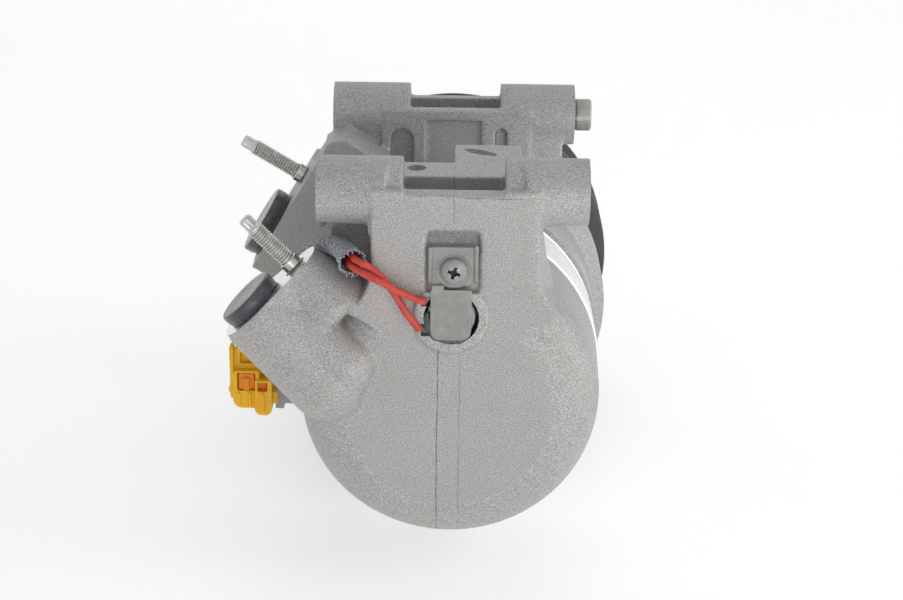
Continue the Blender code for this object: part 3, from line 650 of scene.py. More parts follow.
def wire_look():
    look = Look("red_silicone", colour=(0.60, 0.055, 0.035), roughness=0.42)
    cloud = look.noise(scale=300, detail=4.0)
    fine = look.noise(scale=2800, detail=2.0)
    tone = look.mottle(cloud, dark=(0.52, 0.040, 0.026), light=(0.70, 0.085, 0.055))
    tone = look.stain(tone, fine, start=0.63, end=0.75, amount=0.3, colour=(0.85, 0.30, 0.24))
    look.set(Base_Color=tone)
    look.gloss(cloud, low=0.34, high=0.52)
    look.bump(fine, strength=0.15, depth=0.03)
    look.set(Subsurface_Weight=0.12, Subsurface_Radius=(0.001, 0.0003, 0.0002),
             Subsurface_Scale=1.0)
    return look.material


def sleeve_look(name, light, dark):
    """Two slanting sets of bands crossed into a weave."""
    look = Look(name, dark, roughness=0.75)
    bands = [
        look.node("TexWave", {
            "Scale": 330, "Distortion": 1.2, "Detail": 2.0, "Vector": look.mapped(turn=turn),
        }).outputs["Fac"]
        for turn in ((0.0, 0.75, 0.5), (0.0, -0.75, -0.5))
    ]
    weave = look.times(*bands)
    fray = look.noise(scale=900, detail=4.0, roughness=0.7)
    tone = look.mottle(weave, dark, light, start=0.05, end=0.6)
    tone = look.stain(tone, fray, start=0.58, end=0.72, amount=0.4, colour=(0.42, 0.44, 0.47))
    look.set(Base_Color=tone)
    look.bump(weave, strength=0.8, depth=0.18)
    look.bump(fray, strength=0.3, depth=0.08)
    look.set(Sheen_Weight=0.3)
    return look.material


def plastic_look(name, colour, deep, rough, through=0.0):
    """Moulded plastic; through is how much light scatters inside it."""
    look = Look(name, colour, rough)
    cloud = look.noise(scale=75)
    fine = look.noise(scale=1800, detail=2.0)
    look.set(Base_Color=look.mottle(cloud, deep, colour, start=0.35, end=0.68))
    look.gloss(fine, low=rough - 0.05, high=rough + 0.10)
    look.bump(fine, strength=0.12, depth=0.03)
    if through:
        look.set(Subsurface_Weight=through, Subsurface_Radius=(0.006, 0.003, 0.0006),
                 Subsurface_Scale=0.6, Transmission_Weight=0.12)
    return look.material


def sealant_look():
    look = Look("cured_sealant", colour=(0.075, 0.08, 0.085), roughness=0.55)
    lump = look.noise(scale=520, detail=4.0, roughness=0.6)
    fine = look.noise(scale=1900)
    look.set(Base_Color=look.mottle(lump, dark=(0.045, 0.05, 0.055), light=(0.14, 0.15, 0.155)))
    look.gloss(fine, low=0.40, high=0.70)
    look.bump(lump, strength=0.5, depth=0.25)
    return look.material


# Axis crossed, axis followed, place on the first, low and high end on the second,
# half width, darkness
HEAD_SEAMS = (
    ("X", "Z", -4.35, -60.0, 25.0, 0.30, 0.85),
    ("X", "Z", 3.1, -60.0, 20.0, 0.22, 0.5),
    ("X", "Z", 0.4, 65.8, 78.6, 0.24, 0.75),
    ("Z", "X", 76.6, 1.2, 24.0, 0.24, 0.7),
    ("X", "Z", -11.5, -40.0, -20.0, 0.3, 0.15),
)

CAST = cast_look("blasted_casting")
CAST_HEAD = cast_look("blasted_head", HEAD_SEAMS)
DULL = zinc_look("dull_steel", light=(0.28, 0.26, 0.25), dark=(0.19, 0.175, 0.17), rough=0.5)
TURNED = machined_look("turned_aluminium", line_scale=(60, 6000, 60))
MILLED = machined_look("milled_aluminium", line_scale=(500, 500, 500))
ZINC = zinc_look("zinc_plate", light=(0.62, 0.645, 0.60), dark=(0.40, 0.42, 0.39), rough=0.30)
BARREL = steel_look("turned_barrel", tint=(0.44, 0.445, 0.48), rough=0.42)
CLAMP = clamp_look()
STEEL = steel_look("ground_steel", tint=(0.56, 0.56, 0.57), rough=0.28)
DARK_STEEL = steel_look("dark_steel", tint=(0.30, 0.30, 0.31), rough=0.38)
BLACK = paint_look("black_coat", colour=(0.016, 0.016, 0.020), rough=0.34)
RUBBER = rubber_look("cap_rubber", colour=(0.040, 0.036, 0.044), rough=0.27)
SEAL = rubber_look("seal_rubber", colour=(0.022, 0.022, 0.024), rough=0.5)
RED = wire_look()
SLEEVE = sleeve_look("woven_sleeve", light=(0.60, 0.62, 0.68), dark=(0.24, 0.25, 0.28))
LEAD = sleeve_look("lead_sleeve", light=(0.10, 0.10, 0.11), dark=(0.02, 0.02, 0.022))
YELLOW = plastic_look("yellow_nylon", colour=(1.0, 0.62, 0.004), deep=(0.93, 0.50, 0.002),
                      rough=0.34, through=0.35)
ORANGE = plastic_look("orange_nylon", colour=(1.0, 0.33, 0.0), deep=(0.96, 0.24, 0.0),
                      rough=0.38, through=0.35)
GREY = plastic_look("grey_nylon", colour=(0.40, 0.395, 0.375), deep=(0.30, 0.295, 0.28), rough=0.5)
SEALANT = sealant_look()
RESIN = plastic_look("potting_resin", colour=(0.13, 0.05, 0.025), deep=(0.08, 0.03, 0.015),
                     rough=0.4)
# Painted shade: near-black for the insides of holes and recesses.
HOLE_SHADE = paint_look("shadowed_bore", colour=(0.03, 0.03, 0.03), rough=0.6)


# ---- ports, lugs and bolts the two castings share --------------------------------
def port_point(port, reach, rise, y):
    """A point reach out from the shaft in the port's direction and rise up its face."""
    up = Vector((port.out[2], 0.0, -port.out[0]))
    return Vector(port.out) * reach + up * rise + Vector((0, y, 0))


def port_frame(port, origin):
    """Local X up the face, Y along it and Z outward; the origin is in metres."""
    out, up = Vector(port.out), Vector((port.out[2], 0, -port.out[0]))
    across = out.cross(up)
    return Matrix((
        (up.x, across.x, out.x, origin[0]),
        (up.y, across.y, out.y, origin[1]),
        (up.z, across.z, out.z, origin[2]),
        (0, 0, 0, 1),
    ))


def port_block(name, port, reach, low_r, high_r, length):
    """A round-ended block under the port (low_r) and the stud (high_r)."""
    low, high = port.port_rise, port.stud_rise
    lean = math.degrees(math.asin((low_r - high_r) / (high - low)))
    outline = (arc(low, 0, low_r, 90 - lean, 270 + lean, 28)
               + arc(high, 0, high_r, 270 + lean, 450 - lean, 28))
    middle = Vector(port.out) * (reach - length / 2) + Vector((0, port.y, 0))
    return plate(name, outline, length / 2, port_frame(port, [c * MM for c in middle]))


def face_cutter(name, port, low, high, near_y, far_y):
    """A block whose flat end lies on a port face, between two places up it."""
    obj = box(name, (low, -30.0, 0.0), (high, 30.0, 30.0))
    out = Vector(port.out)
    origin = (out.x * port.face * MM, (near_y + far_y) / 2 * MM, out.z * port.face * MM)
    stretch = Matrix.Diagonal((1, (far_y - near_y) / 60.0, 1, 1))
    obj.matrix_world = port_frame(port, origin) @ stretch @ obj.matrix_world
    return obj


def pin_cutter(name, port, rise, radius, depth, chamfer, steps):
    """A blind round hole with a chamfered mouth and a coned floor."""
    profile = [
        (0, 8.0), (radius + chamfer, 8.0), (radius + chamfer, 0.0),
        (radius, -chamfer), (radius, -depth), (0, -depth - 0.3 * radius),
    ]
    base = port_point(port, port.face, rise, port.y)
    return turned(name, profile, steps=steps, centre=base, axis=port.out)


def stud_tap(name, port):
    return pin_cutter(name, port, port.stud_rise, radius=3.5, depth=13.0, chamfer=0.8, steps=20)


def port_bore(name, port, radius, start, end):
    ends = [port_point(port, reach, port.port_rise, port.y) for reach in (start, end)]
    return rod(name, radius, *ends, 24)


def lugs(y):
    return [
        rod(name, LUG_R, (left, y, LUG_Z), (right, y, LUG_Z), 40)
        for name, left, right in (
            ("lug_left", -LUG_OUT - 1, LUG_IN_LEFT), ("lug_right", LUG_IN_RIGHT, LUG_OUT + 1))
    ]


def lug_cutters(y, near_y, far_y):
    """Flat ends and the long bore of a pair of lugs."""
    return [
        box("left_end", (-60.0, near_y, 60.0), (-LUG_OUT, far_y, 90.0)),
        box("right_end", (LUG_OUT, near_y, 60.0), (60.0, far_y, 90.0)),
        rod("lug_bore", LUG_HOLE_R, (-62, y, LUG_Z), (62, y, LUG_Z), 24),
    ]


def bolt_places():
    for i in range(BOLT_COUNT):
        angle = math.radians(BOLT_TURN + 360.0 * i / BOLT_COUNT)
        yield BOLT_R * math.cos(angle), BOLT_R * math.sin(angle)


def bolt_holes(name, radius, start, end, steps):
    return [
        rod(f"{name}_{i}", radius, (x, start, z), (x, end, z), steps)
        for i, (x, z) in enumerate(bolt_places())
    ]


def on_plane(direction, distance):
    direction = np.array(direction, np.float32)
    return lambda centre, normal: (
        (np.abs(centre @ direction - distance) < 0.03) & (np.abs(normal @ direction) > 0.95))


def in_bore(point, direction, radius):
    point = np.array(point, np.float32)
    direction = np.array(Vector(direction).normalized(), np.float32)

    def rule(centre, normal):
        away = centre - point
        away = away - np.outer(away @ direction, direction)
        near_wall = np.abs(np.linalg.norm(away, axis=1) - radius) < 0.12
        return near_wall & (np.abs(normal @ direction) < 0.2)

    return rule


def casting(obj, look, cutters, machined, lug_y, rounds):
    """Skin, then the machined cuts; faces that pass a machined rule turn milled."""
    remeshed(obj, VOXEL, rounds)
    carve(obj, cutters)
    coat(obj, look, MILLED, HOLE_SHADE)
    lug_faces = [
        on_plane((1, 0, 0), LUG_OUT), on_plane((-1, 0, 0), LUG_OUT),
        in_bore((0, lug_y, LUG_Z), (1, 0, 0), LUG_HOLE_R),
    ]
    for rule in machined + lug_faces:
        paint_faces(obj, rule, 1)
    return smooth(obj, 28)


# ---- the rear head ------------------------------------------------------------------
# (x, z) outlines of the flare between the neck and the dome
FLARE_NEAR = [
    (27.6, 62.0), (27.6, 50.0), (29.5, 40.0), (34.0, 27.0),
    (20.0, 20.0), (-20.0, 20.0), (-26.0, 45.0), (-26.0, 62.0),
]
FLARE_FAR = [
    (30.5, 62.0), (32.5, 50.0), (36.0, 37.0), (40.0, 22.0),
    (20.0, 14.0), (-20.0, 14.0), (-28.5, 45.0), (-28.5, 62.0),
]
# (radius, distance from the shaft) of the lobe under the discharge stud
STUD_LOBE = [
    (0, DISCHARGE.face + 1), (9.3, DISCHARGE.face + 1), (9.6, 69.0), (13.4, 55.5),
    (13.9, 53.5), (13.6, 51.6), (12.4, 50.4), (0, 50.0),
]


def neck_outline():
    right, left = NECK_RIGHT + NECK_FILLET, NECK_LEFT - NECK_FILLET
    return (
        [(NECK_RIGHT, 70), (NECK_RIGHT, NECK_ROOT_Z)]
        + arc(right, NECK_ROOT_Z, NECK_FILLET, 180, 235, 14)[1:] + [(0, 15)]
        + arc(left, NECK_ROOT_Z, NECK_FILLET, 305, 360, 14)[:-1]
        + [(NECK_LEFT, NECK_ROOT_Z), (NECK_LEFT, 70)]
    )


def build_rear_head():
    dome = [(0, HEAD_END + 1), (HEAD_R, HEAD_END + 1), (DOME_R, DOME_FILLET)]
    dome += arc(DOME_FLAT_R, DOME_FILLET, DOME_FILLET, 0, -90, 15)[1:] + [(0, 0)]
    head = turned("rear_head_casting", dome, steps=64)
    rise = DISCHARGE.port_rise
    lobe_heel = port_point(DISCHARGE, 36.0, rise, 6.2)
    cheek_heel = port_point(DISCHARGE, 36.6, rise + 8.6, 4.4)
    combine(head, [
        xz_plate("neck", neck_outline(), 0.02, 26.0),
        loft("neck_flare", FLARE_NEAR, FLARE_FAR, 0.6, 22.0),
        box("neck_lip", (NECK_LEFT, 0.04, 60.0), (NECK_RIGHT, 7.0, 79.0)),
        box("lug_web", (-28.0, 3.2, 62.0), (30.0, 25.0, 76.0)),
        *lugs(REAR_LUG_Y),
        rod("saddle_left", LUG_R - 0.1, (-44.5, REAR_LUG_Y - 0.1, LUG_Z),
            (-21.0, REAR_LUG_Y - 2.7, LUG_Z), 40),
        rod("saddle_right", LUG_R - 0.1, (44.5, REAR_LUG_Y - 0.1, LUG_Z),
            (23.0, REAR_LUG_Y - 2.7, LUG_Z), 40),
        box("lug_root", (-44.6, 14.0, 64.4), (-26.5, 33.6, 73.0)),
        box("left_wall", (-42.0, 26.0, 36.0), (-26.3, 34.2, 66.0)),
        box("left_column", (-46.6, 29.0, 56.0), (-43.6, 33.9, 71.0)),
        box("shelf_wide", (-25.0, 20.0, SHELF_LOW), (26.0, 41.0, SHELF_TOP)),
        box("shelf_long", (0.5, 40.0, SHELF_LOW), (24.0, 63.0, SHELF_TOP)),
        box("shelf_post", (4.0, 24.0, 50.0), (12.0, 43.0, 74.0)),
        port_block("discharge_block", DISCHARGE, DISCHARGE.face + 1.0,
                   DIS_PORT_R, DIS_STUD_R, 23.5),
        rod("discharge_lobe", 14.5, lobe_heel, port_point(DISCHARGE, 69.0, rise, 10.9), 48),
        ball("discharge_lobe_end", 14.5, lobe_heel),
        rod("discharge_cheek", 11.6, cheek_heel,
            port_point(DISCHARGE, 66.0, rise + 5.0, 9.6), 44),
        ball("discharge_cheek_end", 11.6, cheek_heel),
        turned("stud_lobe", STUD_LOBE, steps=44, axis=DISCHARGE.out,
               centre=port_point(DISCHARGE, 0.0, DISCHARGE.stud_rise, DISCHARGE.y - 0.6)),
        rod("recess_boss", 12.8, (0, -1.6, RECESS_Z), (0, 8, RECESS_Z), 48),
    ], "UNION")
    combine(head, [
        box("pocket", (LUG_IN_LEFT, 7.0, 66.0), (LUG_IN_RIGHT, 24.5, 95.0)),
        box("notch", (LUG_IN_LEFT, -5.0, 79.0), (LUG_IN_RIGHT, 24.5, 95.0)),
        box("lip_top", (LUG_IN_LEFT, -5.0, 77.7), (LUG_IN_RIGHT, 12.0, 95.0)),
        box("clamp_seat", (-8.6, -6.0, 44.0), (9.4, 1.1, 62.4)),
        rod("clamp_scoop", 5.4, (-8.3, -2.4, 60.6), (9.1, -2.4, 60.6), 40),
    ], "DIFFERENCE")

    slot_centre = (9.5, 53.5, SHELF_TOP)
    slot = cylinder("shelf_slot", 2.5, 20.0, slot_centre, (0, 0, 1), 16)
    slot.matrix_world = (
        moved_to(slot_centre) @ Matrix.Rotation(math.radians(-32), 4, "Z")
        @ Matrix.Diagonal((2.7, 1, 1, 1))
    )
    cutters = lug_cutters(REAR_LUG_Y, 0.0, 30.0) + [
        rod("shelf_hole", 3.3, (-12.6, 34, 68), (-12.6, 34, 80), 20),
        slot,
        rod("recess", RECESS_R, (0, -8, RECESS_Z), (0, 11.0, RECESS_Z), 40),
        box("tongue_slot", (-10.2, -6.0, 28.5), (-5.0, 0.9, 33.0)),
        box("lead_slot", (-10.0, -6.0, 39.2), (-5.0, 0.9, 42.8)),
        rod("clamp_hole", 2.3, (SCREW_X, -2, SCREW_Z), (SCREW_X, 12, SCREW_Z), 16),
        turned("chamber", [
            (0, 62), (44.3, 62), (44.3, 42.4), (40.7, 42.4), (40.7, 46.0),
            (CHAMBER_R, 46.0), (CHAMBER_R, 20), (30, 16), (0, 16),
        ], steps=60),
        turned("joint_face", [
            (62.0, HEAD_END + 6), (62.0, HEAD_END), (30.0, HEAD_END), (30.0, HEAD_END + 6),
        ], steps=60, closed=True),
        face_cutter("discharge_face", DISCHARGE, -45.0, 7.0, -8.0, 28.0),
        pin_cutter("discharge_seat", DISCHARGE, rise, radius=8.0, depth=7.0, chamfer=0.5,
                   steps=32),
        stud_tap("discharge_tap", DISCHARGE),
        port_bore("discharge_bore", DISCHARGE, 6.0, 29.0, 66.0),
    ] + bolt_holes("bolt", 2.75, 30, 60, 12)
    return casting(head, CAST_HEAD, cutters, [
        on_plane(DISCHARGE.out, DISCHARGE.face),
        on_plane((0, 1, 0), HEAD_END),
        in_bore((0, 0, RECESS_Z), (0, 1, 0), RECESS_R),
    ], REAR_LUG_Y, rounds=15)


# ---- the front housing ----------------------------------------------------------------
# (x, z) outline of the block that carries the suction face
SUCTION_BLOCK = [
    (-75.9, 22.8), (-48.0, 69.3), (-44.6, 71.8), (-40.0, 72.5), (-20.0, 60.0),
    (-20.0, 45.2), (-36.0, 32.0), (-40.0, 5.0), (-48.6, 6.6),
]
# (radius, y) of the nose that carries the pulley bearing
NOSE = [
    (NOSE_R - 1.0, 180.0), (NOSE_R - 0.1, 179.2), (NOSE_R - 0.1, 156.4), (NOSE_R - 0.5, 156.0),
    (26.6, 156.0), (27.0, 155.6), (27.0, 146.0), (12.8, 146.0), (12.8, 180.0),
]
BOLT_SEAT_Y = 117.5


def build_front_housing():
    start = SHELL_END + JOINT
    housing = turned("front_housing_casting", [
        (0, 150.0), (27.0, 150.0), (30.0, 149.0), (48.0, 143.0), (53.0, 138.0), (56.5, 128.0),
        (FLANGE_R, FLANGE_END - 3), (FLANGE_R, 103.0), (BARREL_R, BARREL_END),
        (BARREL_R, start - 1.0), (0, start - 1.0),
    ], steps=64)
    combine(housing, [
        *lugs(FRONT_LUG_Y),
        box("front_lip", (-27.0, 98.8, 50.0), (29.0, 103.5, 79.0)),
        box("front_far_lip", (-27.0, 117.0, 50.0), (29.0, 121.0, 80.0)),
        box("front_web", (-43.0, 100.2, 40.0), (41.0, 119.5, 71.0)),
        xz_plate("suction_block", SUCTION_BLOCK, 80.0, 110.0),
    ], "UNION")
    combine(housing, [
        box("front_pocket", (LUG_IN_LEFT, 103.5, 60.0), (LUG_IN_RIGHT, 117.0, 95.0)),
        box("front_notch", (LUG_IN_LEFT, 90.0, 79.0), (LUG_IN_RIGHT, 130.0, 95.0)),
        box("arch_pocket_left", (-23.8, 90.0, 57.0), (-15.2, 102.6, 67.6)),
        rod("arch_top_left", 4.3, (-19.5, 90.0, 67.4), (-19.5, 102.6, 67.4), 24),
        box("wide_pocket", (-10.5, 90.0, 57.0), (10.5, 101.4, 75.0)),
        box("arch_pocket_right", (15.5, 90.0, 57.0), (20.0, 102.0, 70.0)),
        rod("arch_top_right", 2.25, (17.75, 90.0, 69.9), (17.75, 102.0, 69.9), 20),
    ], "DIFFERENCE")

    cutters = lug_cutters(FRONT_LUG_Y, 96.0, 124.0) + [
        rod("dowel_bore", 6.3, (35, FRONT_LUG_Y, LUG_Z), (62, FRONT_LUG_Y, LUG_Z), 28),
        face_cutter("suction_face", SUCTION, -50.0, 35.5, 70.0, 110.3),
        pin_cutter("suction_seat", SUCTION, SUCTION.port_rise, radius=10.0, depth=7.0,
                   chamfer=0.5, steps=36),
        stud_tap("suction_tap", SUCTION),
        port_bore("suction_bore", SUCTION, 8.5, 20.0, 74.0),
        turned("shaft_rooms", [
            (0, 156), (12.8, 156), (12.8, 122), (20.3, 122), (20.3, 110), (26, 110), (26, 87.6),
            (CASE_BORE_R, 87.6), (CASE_BORE_R, start), (62, start), (62, 60), (0, 60),
        ], steps=60),
    ]
    cutters += bolt_holes("bolt", 2.75, 60, 130, 12)
    cutters += bolt_holes("bolt_seat", 5.2, BOLT_SEAT_Y, 160, 20)
    for degrees in (45, 135, 225, 315):
        x, z = 31 * math.cos(math.radians(degrees)), 31 * math.sin(math.radians(degrees))
        cutters.append(rod(f"pin_{degrees}", 2.8, (x, 80, z), (x, 95, z), 12))
    casting(housing, CAST, cutters, [
        on_plane(SUCTION.out, SUCTION.face),
        on_plane((0, 1, 0), start),
        on_plane((0, 1, 0), BOLT_SEAT_Y),
    ], FRONT_LUG_Y, rounds=9)

    carve(housing, [turned("nose", NOSE, steps=60, closed=True)], "UNION")
    coat(housing, CAST, MILLED, HOLE_SHADE, BARREL)

    def on_barrel(centre, normal):
        x, y, z = centre.T
        on_radius = np.abs(np.hypot(x, z) - BARREL_R) < 0.8
        return (y > SHELL_END + 0.4) & (y < 86.0) & on_radius & (np.abs(normal[:, 1]) < 0.5)

    def on_nose(centre, normal):
        x, y, z = centre.T
        return (np.hypot(x, z) < 27.2) & (y > 150.5)

    paint_faces(housing, on_barrel, 3)
    paint_faces(housing, on_nose, 1)
    return smooth(housing, 28)


own(build_rear_head(), "rear_head")
own(build_front_housing(), "front_housing")


# ---- studs and caps of the ports --------------------------------------------------------
THREAD_PITCH = 1.0


def thread_ridge(height, angle):
    """1 at the root and 0 at the crest of a helical thread."""
    return abs(2 * ((height / THREAD_PITCH - angle / math.tau) % 1.0) - 1.0)


def stud(name, port, top):
    """A threaded stud with a six-lobed tip and a collar on the face."""
    corners = [
        (0, top), (1.75, top), (2.12, top - 0.35), (2.2, top - 0.6), (2.2, top - 4.0),
        (2.45, top - 4.5), (3.0, top - 5.2), (3.0, 4.0), (2.7, 3.75), (3.15, 3.5), (3.45, 3.2),
        (3.45, 0.7), (3.2, 0.35), (2.9, 0.2), (2.9, -10.0), (0, -10.0),
    ]
    thread_top, thread_low = top - 4.7, 3.9

    def rule(radius, height, angle):
        if height > top - 4.2:
            return radius * (1.0 + 0.085 * math.cos(6 * angle) * min(1.0, (radius / 2.0) ** 2))
        if thread_low < height < thread_top and radius > 2.4:
            fade = min(1.0, (thread_top - height) / 0.8, (height - thread_low) / 0.5)
            cut = min(1.0, max(0.0, thread_ridge(height, angle) * 1.25 - 0.12))
            return radius - 0.50 * fade * cut
        return radius

    base = port_point(port, port.face, port.stud_rise, port.y)
    return turned(name, fine_rows(corners, 0.10), ZINC, 20, centre=base, axis=port.out,
                  crease=50, rule=rule)


def port_cap(name, port, rim, plug, top):
    """A rubber cap of radius rim, with a ribbed plug below the face."""
    profile = [(0, top - 0.25), (rim * 0.35, top - 0.22), (rim * 0.72, top - 0.05), (rim - 1.3, top)]
    for degrees in range(8, 91, 12):
        angle = math.radians(degrees)
        profile.append((rim - 1.0 + math.sin(angle), top - 1.0 + math.cos(angle)))
    profile += [
        (rim + 0.02, 2.2), (rim - 0.25, 1.1), (rim - 0.45, 0.9), (rim - 0.3, 0.65),
        (rim - 0.4, 0.2), (rim - 1.2, 0.05), (plug + 0.2, 0.05), (plug, -0.4),
    ]
    for k in range(4):
        drop = 1.2 * k
        profile += [(plug, -0.9 - drop), (plug + 0.22, -1.2 - drop), (plug, -1.5 - drop)]
    profile += [(plug - 0.9, -6.4), (0, -6.4)]

    def rule(radius, height, angle):
        """Six fine nicks down the side."""
        if height > 0.2 and radius > rim - 2 and height < top - 1:
            return radius - 0.10 * max(0.0, math.cos(6 * angle)) ** 24
        return radius

    base = port_point(port, port.face, port.port_rise, port.y)
    return turned(name, profile, RUBBER, 48, centre=base, axis=port.out, rule=rule)


own(stud("discharge_stud_look", DISCHARGE, top=24.0), "discharge_stud")
own(stud("suction_stud_look", SUCTION, top=26.5), "suction_stud")
own(port_cap("discharge_cap_look", DISCHARGE, rim=10.9, plug=7.6, top=5.0), "discharge_port_cap")
own(port_cap("suction_cap_look", SUCTION, rim=13.1, plug=9.6, top=5.6), "suction_port_cap")


# ---- clamp, screw and thermal protector on the rear head -----------------------------------
SCREW_CENTRE = (SCREW_X, 0, SCREW_Z)


def build_clamp():
    """Bent sheet: a square foot under the screw and a tongue over the protector."""
    clamp = xz_plate(
        "clamp_plate_look", rounded(-7.9, 46.3, 8.7, 60.0, (0.7, 0.7, 2.2, 2.2)), -1.1, 0.45)
    to_world(clamp)
    combine(clamp, [
        xz_plate("foot_rim_left", rounded(-7.9, 47.8, -6.7, 60.0, 0.5), -1.55, 0.0),
        xz_plate("foot_rim_right", rounded(7.5, 47.8, 8.7, 60.7, 0.5), -1.55, 0.0),
        xz_plate("tongue", rounded(-7.0, 27.4, 6.7, 45.4, (0.4, 0.4, 3.2, 3.2), 3), -2.45, -1.65),
        box("bend", (-6.6, -2.3, 44.4), (-2.6, 0.2, 47.0)),
        turned("dimple", [(0, -1.0), (5.4, -1.0), (6.0, -1.25), (6.6, -1.0), (6.6, 0.2), (0, 0.2)],
               steps=30, centre=SCREW_CENTRE),
    ], "UNION")
    remeshed(clamp, 0.24, 3)
    carve(clamp, [rod("foot_bore", 2.5, (SCREW_X, -5, SCREW_Z), (SCREW_X, 5, SCREW_Z), 20)])
    return smooth(coat(clamp, CLAMP), 30)


def build_screw():
    """A domed head with a cross recess, its shank running into the head casting."""
    screw = turned("clamp_screw_look", [
        (0, -4.15), (1.2, -4.12), (2.4, -4.0), (3.3, -3.78), (3.9, -3.45), (4.3, -2.95),
        (4.5, -2.35), (4.5, -1.75), (4.35, -1.5), (2.3, -1.5), (2.3, -1.1), (2.0, -0.9),
        (2.0, 11.0), (0, 11.0),
    ], steps=36, centre=SCREW_CENTRE)
    cutters = []
    for degrees in (17.0, 107.0):
        arm = box(f"arm_{degrees:.0f}", (-2.15, -5.0, -0.55), (2.15, -2.3, 0.55))
        turn = Matrix.Rotation(math.radians(degrees), 4, "Y")
        arm.matrix_world = moved_to(SCREW_CENTRE) @ turn @ arm.matrix_world
        cutters.append(arm)
    cutters.append(turned(
        "arm_middle", [(0, -5.0), (1.35, -5.0), (1.15, -3.4), (0.3, -1.9), (0, -1.8)],
        steps=10, centre=SCREW_CENTRE))
    coat(carve(screw, cutters), CLAMP, HOLE_SHADE)

    def in_recess(centre, normal):
        x, y, z = centre.T
        inside = np.hypot(x - SCREW_X, z - SCREW_Z) < 2.5
        return inside & ((np.abs(normal[:, 1]) < 0.8) | (y > -3.0)) & (y < -1.6)

    # Painted shade: the cross recess is coloured near-black.
    paint_faces(screw, in_recess, 1)
    return smooth(screw, 30)


def build_sealant():
    """A hand-laid bead along an arc of the recess."""
    rings = []
    for i in range(91):
        part = i / 90
        angle = math.radians(168 + (318 - 168) * part)
        taper = 0.25 + 0.75 * min(1.0, 6 * part, 6 * (1 - part))
        lumps = 1 + 0.22 * math.sin(9.1 * part + 1.0) * math.cos(23.0 * part)
        thick = 1.75 * taper * lumps
        loop = []
        for k in range(14):
            spin = math.tau * k / 14
            wobble = 1 + 0.12 * math.sin(3 * spin + 12 * part)
            reach = 8.0 + thick * 1.15 * math.cos(spin) * wobble
            loop.append(Vector((
                reach * math.cos(angle),
                -0.55 - thick * 0.8 * math.sin(spin),
                RECESS_Z + reach * math.sin(angle),
            )) * MM)
        rings.append(loop)
    return skin("protector_sealant_look", rings, SEALANT, capped=True, crease=60)


own(build_clamp(), "clamp_plate")
own(build_screw(), "clamp_screw")
own(turned("protector_look", [
    (0, 0.2), (3.0, 0.2), (3.2, 0.5), (6.2, 0.5), (6.5, 0.2), (7.9, 0.2), (8.3, 0.5), (8.4, 1.0),
    (8.4, 2.2), (8.1, 2.4), (8.1, 9.8), (7.6, 10.6), (0, 10.6),
], DARK_STEEL, steps=40, centre=(0, 0, RECESS_Z)), "thermal_protector")
own(build_sealant(), "protector_sealant")


# ---- leads and their woven sleeve ---------------------------------------------------------
def bend(points, steps=3):
    """A Catmull-Rom curve through the points."""
    path = []
    ends = [points[0]] + list(points) + [points[-1]]
    for i in range(len(points) - 1):
        before, start, end, after = (Vector(ends[i + k]) for k in range(4))
        for step in range(steps):
            t = step / steps
            path.append(0.5 * (
                2 * start + (end - before) * t + (2 * before - 5 * start + 4 * end - after) * t * t
                + (3 * start - before - 3 * end + after) * t ** 3
            ))
    path.append(Vector(points[-1]))
    return path


def heading(path, i):
    return (path[min(i + 1, len(path) - 1)] - path[max(i - 1, 0)]).normalized()


def beside(path, offset):
    """The path moved sideways, square to Y."""
    return [
        point + heading(path, i).cross(Vector((0, 1, 0))).normalized() * offset
        for i, point in enumerate(path)
    ]


def evenly(path, spacing):
    """The path again at one spacing."""
    points, carry = [path[0]], 0.0
    for start, end in zip(path, path[1:]):
        length = (end - start).length
        reach = spacing - carry
        while reach <= length:
            points.append(start + (end - start) * (reach / length))
            reach += spacing
        carry = (carry + length) % spacing
    return points


def carried(path):
    """Two axes square to the path, moved along it without twist."""
    side = None
    frames = []
    for i in range(len(path)):
        ahead = heading(path, i)
        if side is None:
            side = ahead.cross(Vector((0, 0, 1))).normalized()
        side = (side - ahead * side.dot(ahead)).normalized()
        frames.append((side, ahead.cross(side)))
    return frames


def mouth(part):
    """Flare of the sleeve's open end."""
    return 1.0 + 0.34 * max(0.0, (part - 0.86) / 0.14) ** 1.5


def wire(name, points, radius, look, resolution):
    mesh = curve_mesh(
        name, [[Vector(point) * MM for point in points]], dimensions="3D",
        bevel_depth=radius * MM, bevel_resolution=resolution, use_fill_caps=True,
    )
    clean(mesh)
    return smooth(place(name, mesh, look), 50)


def frayed(line, centre, k, way, fray):
    """Adds a loose end that wanders outward from the strand."""
    onward = (line[-1] - line[-3]).normalized()
    outward = (line[-1] - centre).normalized()
    wild = math.sin(37.0 * k + 5 * way)
    tip = line[-1]
    for j in range(1, 5):
        tip = (
            tip + onward * (0.35 * fray * (0.5 + abs(wild)))
            + outward * (0.16 * j * fray * math.cos(11 * k))
            + Vector((0.10 * wild, 0.08 * math.sin(19 * k), -0.12 * j * abs(wild)))
        )
        line.append(tip)


def woven(name, path, radius, look, count, pitch, thick, flare=lambda part: 1.0, fray=0.0):
    """Strands wound both ways round a path, passing over and under."""
    even = evenly(bend(path), 0.45)
    frames = carried(even)
    spacing = (even[1] - even[0]).length
    lines = []
    for way in (1, -1):
        for k in range(count):
            line = []
            for i, (point, (side, up)) in enumerate(zip(even, frames)):
                run = i * spacing
                angle = math.tau * (k / count + way * run / pitch)
                over = math.sin(math.tau * run / pitch * count + math.pi * k
                                + (0 if way > 0 else math.pi))
                reach = radius * flare(i / (len(even) - 1)) + 0.16 * over
                line.append(
                    point + side * (reach * math.cos(angle)) + up * (reach * math.sin(angle)))
            if fray:
                frayed(line, even[-1], k, way, fray)
            lines.append([point * MM for point in line])
    mesh = curve_mesh(name, lines, dimensions="3D", bevel_depth=thick * MM, bevel_resolution=1)
    return smooth(place(name, mesh, look), 60)


